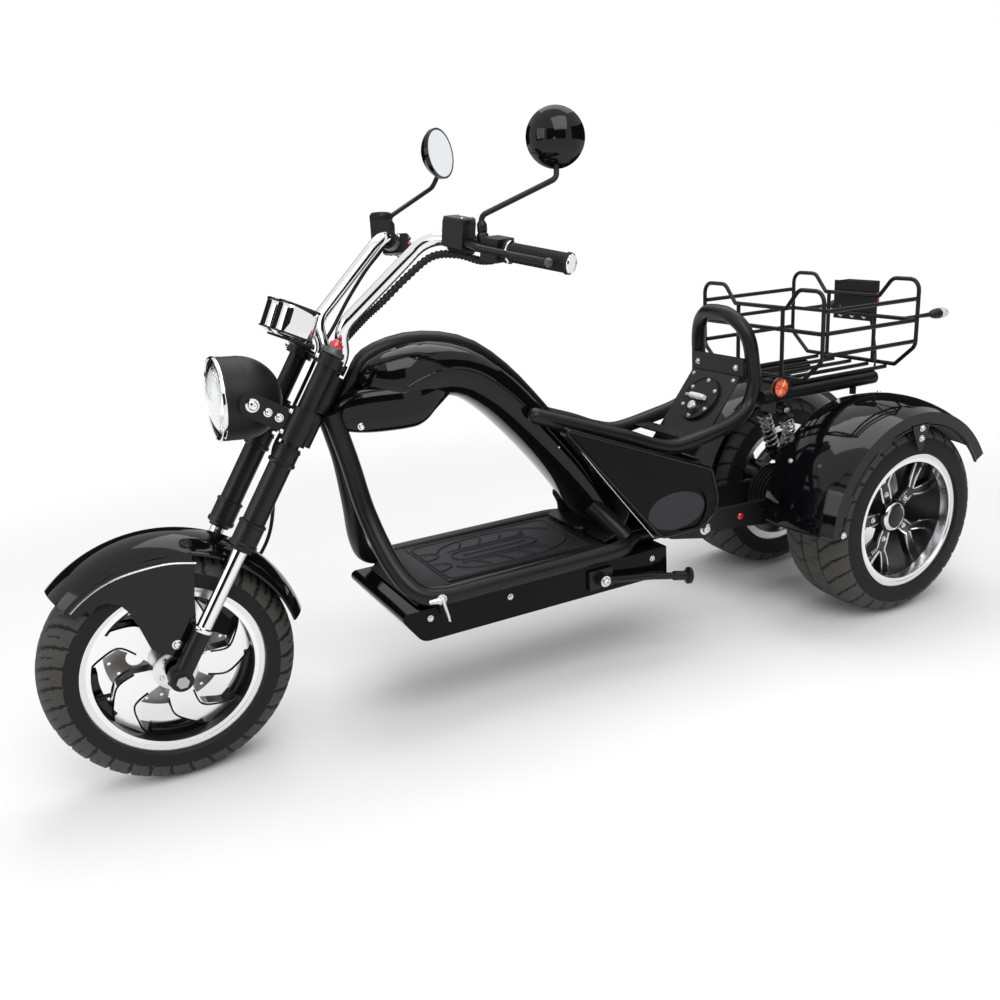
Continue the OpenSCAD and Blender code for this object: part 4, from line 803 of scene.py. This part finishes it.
# Frame tubes and seat rails on smooth curves, in place of the faceted solids
TUBE = [(1286, 21, 654), (1274, 22, 604), (1262, 26, 545), (1249, 46, 452), (1230, 96, 360), (1200, 140, 302),
        (1150, 152, 285), (1060, 152, 284), (900, 152, 284), (770, 152, 284), (716, 144, 284), (664, 106, 284),
        (630, 98, 284), (560, 98, 284), (500, 98, 284)]
pipes = Batch("smooth_frame_tubes", "chassis", SATIN, replaces=["frame_tubes"])
for side in SIDES:
    pipes.tube(flow([at(x, y * side, z) for x, y, z in TUBE], 8), 19, 28)
RAIL = [(884, 97.3, 598), (780, 110, 560), (676, 119, 522), (610, 120, 494), (544, 120, 480), (430, 120, 496),
        (366, 113, 512), (326, 105, 536), (307, 104, 580), (308, 100, 630), (313, 94, 680), (321, 76, 716),
        (331, 42, 740), (334, 14, 745)]
rail = Batch("smooth_seat_rails", "chassis", SATIN, replaces=["seat_rails"])
half_path = [at(*p) for p in RAIL]
rail.tube(flow(half_path + [Vector((p.x, -p.y, p.z)) for p in half_path[::-1]], 8), 17, 28)

# Pad on the end of the side stand, struts at the arch's foot
STAND_KNEE, STAND_TIP = at(657.4, 175, 212.8), at(575, 192.6, 200)
foot = Batch("stand_foot", "stand", SATIN)
foot.turn([(8.6, -34), (10.8, -32), (10.8, -3), (19, 2), (19, 9), (16.5, 11)], STAND_TIP, STAND_TIP - STAND_KNEE, 32)
STRUT = [(742, 66, 372), (722, 84, 346), (704, 108, 318), (692, 124, 296)]
struts = Batch("foot_struts", "chassis", SATIN)
for side in SIDES:
    path = flow([at(x, y * side, z) for x, y, z in STRUT], 6)
    struts.tube(path, [20 + k / 6 for k in range(19)], 24)

# Seat panels: bead round the edge, bright stripe and grey oval. Columns: circles that the outline goes round
PANEL = [(842, 566, 10), (500, 402, 34), (520, 352, 66), (600, 330, 44)]


def hull_outline(circles, inset):
    """Convex outline round circles, each smaller by inset."""
    pts = sorted((x + (r - inset) * cos(2 * pi * k / 72), z + (r - inset) * sin(2 * pi * k / 72))
                 for x, z, r in circles for k in range(72))

    def turns_right(a, b, c):
        return (b[0] - a[0]) * (c[1] - a[1]) <= (b[1] - a[1]) * (c[0] - a[0])

    def half(seq):
        out = []
        for p in seq:
            while len(out) > 1 and turns_right(out[-2], out[-1], p):
                out.pop()
            out.append(p)
        return out[:-1]

    return half(pts) + half(pts[::-1])


PANEL_Y = 159.3
STRIPE = [(640, 296), (700, 372), (770, 462), (826, 536)]
# Oval: half width and half height, and its section from the edge to the middle: thousandths of them, millimetres
OVAL = (0.078, 0.043)
OVAL_SECTION = [(1000, 0), (1000, 4.6), (960, 5.8), (900, 5), (50, 5)]
DISC_GREY = surface("disc_grey", (0.026, 0.026, 0.030), 0.5, bump=0.00008, grain=900, specular=0.3)
rim = Batch("panel_rims", "chassis", GLOSS)
disc = Batch("panel_discs", "chassis", DISC_GREY)
stripe = Batch("panel_stripes", "chassis", ALLOY)
for side in SIDES:
    outline = hull_outline(PANEL, 5.5)
    dense = []
    for (x0, z0), (x1, z1) in zip(outline, outline[1:] + outline[:1]):
        n = max(1, ceil(((x1 - x0) ** 2 + (z1 - z0) ** 2) ** 0.5 / 20))
        dense += [at(x0 + (x1 - x0) * k / n, PANEL_Y * side, z0 + (z1 - z0) * k / n) for k in range(n)]
    rim.tube(dense, 4.2, 10, closed=True)
    stripe.tube(flow([at(x, (PANEL_Y + 0.3) * side, z) for x, z in STRIPE], 6), 1.2, 8)
    verts, faces = lathe(OVAL_SECTION, Vector(), Y * side, 72)
    oval_at = at(575, 155.3 * side, 345)
    disc.add(([oval_at + Vector((v.x * OVAL[0], v.y, v.z * OVAL[1])) for v in verts], faces))

# Deck mat with its ribs, latch and bolts of the box, knob behind the mat
ribs = Batch("mat_ribs", "chassis", MAT_RUBBER)
MAT_TOP = 298


def on_mat(points, closed=False):
    """Raised rib along points of the mat's top."""
    path = [at(x, y, MAT_TOP) for x, y in points]
    ribs.tube(path if closed else flow(path, 6), 2.8, 8, closed=closed)


# Ribs of the mat's left half: long bow, slanted bars, line beside the oval, hook at the front
MAT_LINES = [[(798, 40), (822, 66), (870, 88), (930, 96), (1000, 92), (1050, 74), (1070, 50)]]
MAT_LINES += [[(x, y), (x + 8, 0.72 * y), (x + 26, 42)] for x, y in ((850, 80), (900, 92), (950, 95), (1000, 92))]
MAT_LINES += [[(860, 40), (920, 40), (1000, 40), (1050, 40)],
              [(1108, 14), (1084, 20), (1076, 34), (1084, 50), (1108, 60)]]
on_mat([(945 + 1000 * x, 1000 * y) for x, y in rounded_box(0.334, 0.222, 0.020)], closed=True)
on_mat([(955 + 1000 * x, 1000 * y) for x, y in rounded_box(0.200, 0.052, 0.0255, 10)], closed=True)
on_mat([(880, 0), (955, 0), (1030, 0)])
for side in SIDES:
    for line in MAT_LINES:
        on_mat([(x, y * side) for x, y in line])
latch = Batch("deck_latch", "chassis", ZINC, slot="steel")
latch.bolt(at(1160, 171, 286), Y, 7.5)
latch.tube(flow([at(1160, 176, 290), at(1158, 178, 276), at(1154, 179, 258), at(1150, 177, 240)], 5),
           [8 - 0.2 * k for k in range(16)], 14, flat=0.55)
latch.tube([at(1186, 170, 286), at(1172, 173, 286), at(1158, 174, 284)], [4.5, 6, 7], 12)
for side in SIDES:
    latch.bolt(at(470, 125.4 * side, 271), Y * side, 10)
    latch.bolt(at(560, 125.4 * side, 284), Y * side, 6)
    for x in (640, 1000, 1180):
        latch.bolt(at(x, 152.0 * side, 244), Y * side, 4.5)
latch.bolt(at(781, 176.8, 232), Y, 8.5)
knob = Batch("deck_knob", "chassis", PLASTIC)
knob.turn([(13, 0), (13, 4), (6, 6), (6, 12), (12, 15), (13, 20), (10, 24), (4, 25)], at(756, 40, 294), Z, 32)

# Rounded ends of the seat rails on the arch's sides, and small red markers
ends = Batch("rail_ends", "chassis", SATIN)
markers = Batch("red_markers", "chassis", RED)
for side in SIDES:
    spot = at(884, 97.3 * side, 598)
    ends.turn([(16.8, -6), (17.2, 0), (15.8, 8), (11.5, 14), (5, 16.8), (1, 17.2)], spot,
              Vector((0.90, -0.12 * side, 0.33)), 28)
    markers.turn([(8, 0), (8, 3), (6, 5), (2, 5.5)], at(330, 86.2 * side, 262), Y * side, 20)

# Seat lock on its round plate, screws of the sloped cover
LOCK_N = Vector((0.774, 0, 0.634)).normalized()
LOCK_U = Vector((LOCK_N.z, 0, -LOCK_N.x))
COVER_X, COVER_Z = 382.5, 545.5
LOCK_AT = at(COVER_X, 0, COVER_Z) + LOCK_N * 0.006
plain = Batch("lock_white", "chassis", WHITE)
plain.tube([LOCK_AT + Y * y + LOCK_N * h for y, h in ((0.030, 0.008), (0.012, 0.009), (-0.020, 0.009))],
           [6, 7.5, 7.5], 20)
metal = Batch("lock_metal", "chassis", ZINC, slot="steel")
metal.turn([(12.5, 0), (12.5, 8), (10.5, 11), (4, 11.5)], LOCK_AT + LOCK_U * 0.024, LOCK_N, 32)
metal.tube([LOCK_AT - Y * 0.018 + LOCK_N * 0.009, LOCK_AT - Y * 0.040 + LOCK_N * 0.007], 4, 14)
for k in range(6):
    t = 2 * pi * k / 6
    metal.bolt(LOCK_AT + (LOCK_U * cos(t) + Y * sin(t)) * 0.048, LOCK_N, 3.4)
for side in SIDES:
    for step in (-0.062, 0.100):
        metal.bolt(at(COVER_X, 74 * side, COVER_Z) + LOCK_U * step, LOCK_N, 3.4)
    metal.bolt(at(332.1, 70 * side, 622), X, 5)
ring = Batch("lock_ring", "chassis", SATIN)
ring.turn([(53, 0), (54.5, 2.2), (56.5, 2.2), (57.8, 0)], LOCK_AT, LOCK_N, 64, closed=True)
ring.turn([(18, 0), (19, 2.5), (21, 2.5), (22, 0)], LOCK_AT + LOCK_U * 0.024, LOCK_N, 48, closed=True)

# Shocks: damper, bright rod, coil spring and seats, in place of the plain solids
COIL_TURNS, COIL_STEPS = 7, 24
dampers = Batch("shock_dampers", "chassis", SATIN, replaces=["shocks"])
springs = Batch("shock_springs", "chassis", STEEL)
pins = Batch("shock_pins", "chassis", ZINC, slot="steel")
for side in SIDES:
    foot, top = at(104, 40 * side, 348), at(156, 40 * side, 492)
    axis = (top - foot).normalized()
    length = (top - foot).length * 1000
    for end in (foot, top):
        dampers.turn([(5.3, -10), (12, -9.5), (12, 9.5), (5.3, 10)], end, Y, 32, closed=True)
        pins.bolt(end + Y * side * 0.014, Y * side, 6.2)
    dampers.turn([(8, 9), (11, 12), (11, 80), (9, 82)], foot, axis, 32)
    dampers.turn([(11, 22), (19.5, 23), (19.5, 27), (11, 30)], foot, axis, 36)
    dampers.turn([(9, length - 26), (19.5, length - 24), (19.5, length - 19), (9, length - 10)], foot, axis, 36)
    pins.turn([(5.5, 78), (5.5, length - 9)], foot, axis, 24)
    u, v = across(axis)
    low, high, steps = 0.029, length / 1000 - 0.027, COIL_TURNS * COIL_STEPS
    turns = [2 * pi * k / COIL_STEPS for k in range(steps + 1)]
    coil = [foot + axis * (low + (high - low) * k / steps) + (u * cos(t) + v * sin(t)) * 0.0158
            for k, t in enumerate(turns)]
    springs.tube(coil, 3, 8)

# Fenders: bright line and bolts at the front, beads and bolts at the back
# Points of the front fender's trim and skirt: ahead of the axle and above it
TRIM = [(152, 162), (130, 179), (102, 195), (70, 206), (30, 212), (-20, 213), (-66, 204)]
trim = Batch("fender_trim", "steering", ALLOY, slot="alloy")
for side in SIDES:
    trim.tube(flow([FRONT + Vector((x / 1000, side * 0.0702, z / 1000)) for x, z in TRIM], 8), 2, 8)
    trim.bolt(FRONT + Vector((-0.008, side * 0.0697, 0.058)), Y * side, 6.5)
fill = Batch("fender_skirts", "steering", GLOSS)
SKIRT = [(52, 116), (58, 138), (70, 156), (90, 166), (116, 164), (146, 150), (160, 164), (118, 196), (74, 214),
         (30, 217), (-20, 217), (-64, 207), (-60, 190), (-54, 150), (0, 146)]
for side in SIDES:
    outline = [(-x / 1000 * side, z / 1000) for x, z in SKIRT]
    fill.add(plate(outline[::side], FRONT + Y * side * 0.0648, X * -side, Z, 0.0052, 0.0006))


def fender_crown(y):
    """Outer radius of a rear fender, y millimetres out from the wheel's middle."""
    return 0.292 - 0.0016 * (y + 14) ** 2 / 1000


# Bracket over the tyre's wall, pointing down to the rim
TAB = [(-0.030, 0.240), (-0.026, 0.226), (-0.006, 0.178), (0.006, 0.176), (0.024, 0.226), (0.028, 0.240)]
EDGE_R, EDGE_Y = 0.2362, 0.1118
bead = Batch("rear_fender_beads", "chassis", GLOSS)
studs = Batch("rear_fender_bolts", "chassis", ZINC, slot="steel")
for side, way in (("left", 1), ("right", -1)):
    wheel = REAR[side]
    bead.tube([polar(wheel, EDGE_R, -a, way * EDGE_Y) for a in range(3, 152, 2)], 3, 8)
    for a in (3.4, 150.6):
        end_line = [polar(wheel, fender_crown(y) - 0.002, -a, way * y / 1000) for y in range(-110, 111, 10)]
        bead.tube(end_line, 3, 8)
    for a, y in ((76, -82), (104, -82), (34, -60), (132, -60)):
        out = Vector((cos(radians(a)), 0, sin(radians(a))))
        studs.bolt(polar(wheel, fender_crown(y) - 0.0002, -a, way * y / 1000), out, 5)
    bead.add(plate(TAB, wheel + Y * way * 0.1122, X * -way, Z, 0.0036, 0.0010))
    for z in (0.232, 0.208):
        studs.bolt(wheel + Vector((0, way * 0.1156, z)), Y * way, 5.5)
    studs.bolt(wheel + Vector((0.2360, way * 0.1135, 0.020)), Y * way, 5.5)

# Lamps at the back: star faces of the round reflectors, red lens, leaf-shaped signals
STAR_RAYS = 12
# One ray of a reflector's star. Columns: share of the ray's turn, radius, height
STAR = [(0, 0.0205, 0.0004), (1, 0.0205, 0.0004), (0.5, 0.0120, 0.0034), (0.5, 0, 0.0008), (0, 0.0100, 0.0006),
        (1, 0.0100, 0.0006)]
star = Batch("reflector_faces", "chassis", ORANGE, slot="amber")
case = Batch("reflector_cases", "chassis", PLASTIC)
for side in SIDES:
    mid = at(257, 142.3 * side, 574)
    for k in range(STAR_RAYS):
        turns = ((2 * pi * (k + q) / STAR_RAYS, r, h) for q, r, h in STAR)
        pts = [mid + (X * cos(a) + Z * sin(a)) * r + Y * side * h for a, r, h in turns]
        star.add((pts, [(0, 1, 2), (0, 2, 4), (1, 5, 2), (2, 5, 3), (4, 2, 3)]))
    case.turn([(20.5, -1), (21.5, 3), (23.5, 3), (24.5, -4), (23.2, -6)], mid, Y * side, 48, closed=True)
tail = Batch("tail_lens", "chassis", RED)
LENS_AT = at(-147.4, 0, 730)
tail.add(plate(rounded_box(0.098, 0.025, 0.006), LENS_AT, -Y, Z, 0.007, 0.0025))
for k in range(-3, 4):
    tail.tube([LENS_AT - X * 0.0072 + Y * 0.012 * k + Z * h for h in (-0.009, 0.009)], 1.4, 6)
# Face of the plate bracket, where the signals' stalks start too
BRACKET_X = -110.3
screw = Batch("plate_screws", "chassis", ZINC, slot="steel")
for y in (-40, 0, 40):
    screw.bolt(at(BRACKET_X, y, 692), X, 5.2)
# Columns: metres behind the stalk's root, radius
LEAF = [(0.1145, 15.2), (0.12, 16), (0.128, 16), (0.136, 14.2), (0.144, 10.5), (0.15, 5), (0.1516, 1.2)]
stalks = Batch("signal_stalks", "chassis", PLASTIC, replaces=["turn_signals"])
leaves = Batch("signal_lenses", "chassis", SIGNAL)
signal_low, signal_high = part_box("turn_signals")
SIGNAL_Z = (signal_low[2] + signal_high[2]) / 2
for side in SIDES:
    root = Vector((at(BRACKET_X, 0, 0).x, 0.171 * side, SIGNAL_Z))
    stalks.tube([root, root - X * 0.050, root - X * 0.090], [5, 4.8, 6], 16)
    stalks.tube([root - X * (0.086 + 0.01 * k) for k in range(4)], [6.2, 12, 15, 15.8], 28, flat=0.8)
    leaves.tube([root - X * d for d, _ in LEAF], [r for _, r in LEAF], 28, flat=0.8)

# Camera fitted to the photograph: place in metres, angles in degrees, focal length and centre in its pixels
PHOTO_SIDE = 1000
CAMERA_AT = Vector((1.031, 1.857, 1.033))
CAMERA_YAW, CAMERA_PITCH, CAMERA_ROLL = -119.512, -19.743, -3.182
FOCAL_PX = 989.13
CENTRE_PX = (560, 545)
SENSOR = 36.0


def add_camera():
    """Camera of the photograph, its optical centre set by lens shift."""
    yaw, pitch, roll = radians(CAMERA_YAW), radians(CAMERA_PITCH), radians(CAMERA_ROLL)
    ahead = Vector((cos(pitch) * cos(yaw), cos(pitch) * sin(yaw), sin(pitch)))
    right = Vector((sin(yaw), -cos(yaw), 0))
    up = right.cross(ahead)
    side = cos(roll) * right + sin(roll) * up
    top = cos(roll) * up - sin(roll) * right
    data = bpy.data.cameras.new("photo_camera")
    data.sensor_width = SENSOR
    data.lens = SENSOR * FOCAL_PX / PHOTO_SIDE
    data.shift_x = 0.5 - CENTRE_PX[0] / PHOTO_SIDE
    data.shift_y = CENTRE_PX[1] / PHOTO_SIDE - 0.5
    camera = bpy.data.objects.new("photo_camera", data)
    camera.matrix_world = Matrix((side, top, -ahead)).transposed().to_4x4()
    camera.location = CAMERA_AT
    bpy.context.collection.objects.link(camera)
    bpy.context.scene.camera = camera


def add_lamp(name, spot, target, size, power):
    """Soft rectangular lamp at spot that looks at target."""
    data = bpy.data.lights.new(name, "AREA")
    data.shape, data.size, data.size_y = "RECTANGLE", size[0], size[1]
    data.energy = power
    lamp = bpy.data.objects.new(name, data)
    lamp.location = spot
    lamp.rotation_euler = (Vector(target) - Vector(spot)).to_track_quat("-Z", "Y").to_euler()
    bpy.context.collection.objects.link(lamp)


def seen_directly(owner):
    """1 for what the camera sees itself, in gloss or through glass."""
    path = shader_node(owner, "ShaderNodeLightPath").outputs
    seen = path["Is Camera Ray"]
    for ray in ("Is Glossy Ray", "Is Transmission Ray"):
        seen = fed(owner, "ShaderNodeMath", seen, path[ray], operation="MAXIMUM").outputs[0]
    return seen


def add_world(light, shown):
    """White to the camera and to reflections, and a plain level of light on the object."""
    world = bpy.data.worlds.new("studio")
    bpy.context.scene.world = world
    world.use_nodes = True
    strength = fed(world, "ShaderNodeMapRange", seen_directly(world), 0.0, 1.0, light, shown)
    background = world.node_tree.nodes["Background"]
    background.inputs["Color"].default_value = (1, 1, 1, 1)
    world.node_tree.links.new(strength.outputs["Result"], background.inputs["Strength"])


def add_floor(reach, near, far):
    """Pale floor that keeps the shadow under the object and fades to the white of the backdrop from near to far."""
    mesh = bpy.data.meshes.new("floor")
    corners = [(-reach, -reach, 0), (reach, -reach, 0), (reach, reach, 0), (-reach, reach, 0)]
    mesh.from_pydata(corners, [], [(0, 1, 2, 3)])
    floor = bpy.data.objects.new("floor", mesh)
    material = surface("pale_floor", (0.93, 0.93, 0.93), 0.85, shift=0.01, patch=2.0)
    nodes = material.node_tree.nodes
    place = shader_node(material, "ShaderNodeTexCoord").outputs["Object"]
    distance = fed(material, "ShaderNodeVectorMath", place, operation="LENGTH").outputs["Value"]
    fade = fed(material, "ShaderNodeMapRange", distance, near, far, interpolation_type="SMOOTHSTEP").outputs["Result"]
    share = fed(material, "ShaderNodeMath", fade, seen_directly(material), operation="MULTIPLY").outputs[0]
    white = shader_node(material, "ShaderNodeEmission").outputs["Emission"]
    mix = fed(material, "ShaderNodeMixShader", share, nodes["Principled BSDF"].outputs["BSDF"], white)
    material.node_tree.links.new(mix.outputs["Shader"], nodes["Material Output"].inputs["Surface"])
    mesh.materials.append(material)
    bpy.context.collection.objects.link(floor)


def add_flags(radius, low, high, gaps):
    """Dark panels round the studio, seen only in reflections, with gaps (angle, width) that let the white through."""
    verts, faces = [], []
    for a in range(0, 360, 4):
        if any(abs((a - mid + 180) % 360 - 180) < width / 2 for mid, width in gaps):
            continue
        k = len(verts)
        ends = [(radius * cos(radians(q)), radius * sin(radians(q))) for q in (a, a + 4)]
        verts += [(x, y, z) for x, y in ends for z in (low, high)]
        faces.append((k, k + 2, k + 3, k + 1))
    mesh = bpy.data.meshes.new("studio_flags")
    mesh.from_pydata(verts, [], faces)
    mesh.materials.append(surface("flag_cloth", (0.02, 0.02, 0.02), 0.9, specular=0.1))
    flags = bpy.data.objects.new("studio_flags", mesh)
    flags.visible_camera = flags.visible_diffuse = flags.visible_shadow = flags.visible_transmission = False
    bpy.context.collection.objects.link(flags)


add_camera()
add_world(light=0.5, shown=1.0)
add_floor(reach=14.0, near=1.2, far=2.6)
add_lamp("key", (0.6, 2.4, 3.0), (0, 0, 0.4), (2.4, 2.4), 62)
add_lamp("top", (-0.6, -0.6, 3.2), (0, 0, 0.4), (3.0, 2.0), 48)
add_lamp("front", (3.2, 0.4, 1.6), (0.4, 0, 0.5), (1.6, 1.6), 20)
add_flags(radius=5.0, low=0.25, high=3.2, gaps=((100, 24), (190, 16), (250, 20), (330, 30), (20, 16)))

make_pieces()
bpy.context.scene.view_settings.view_transform = "Standard"
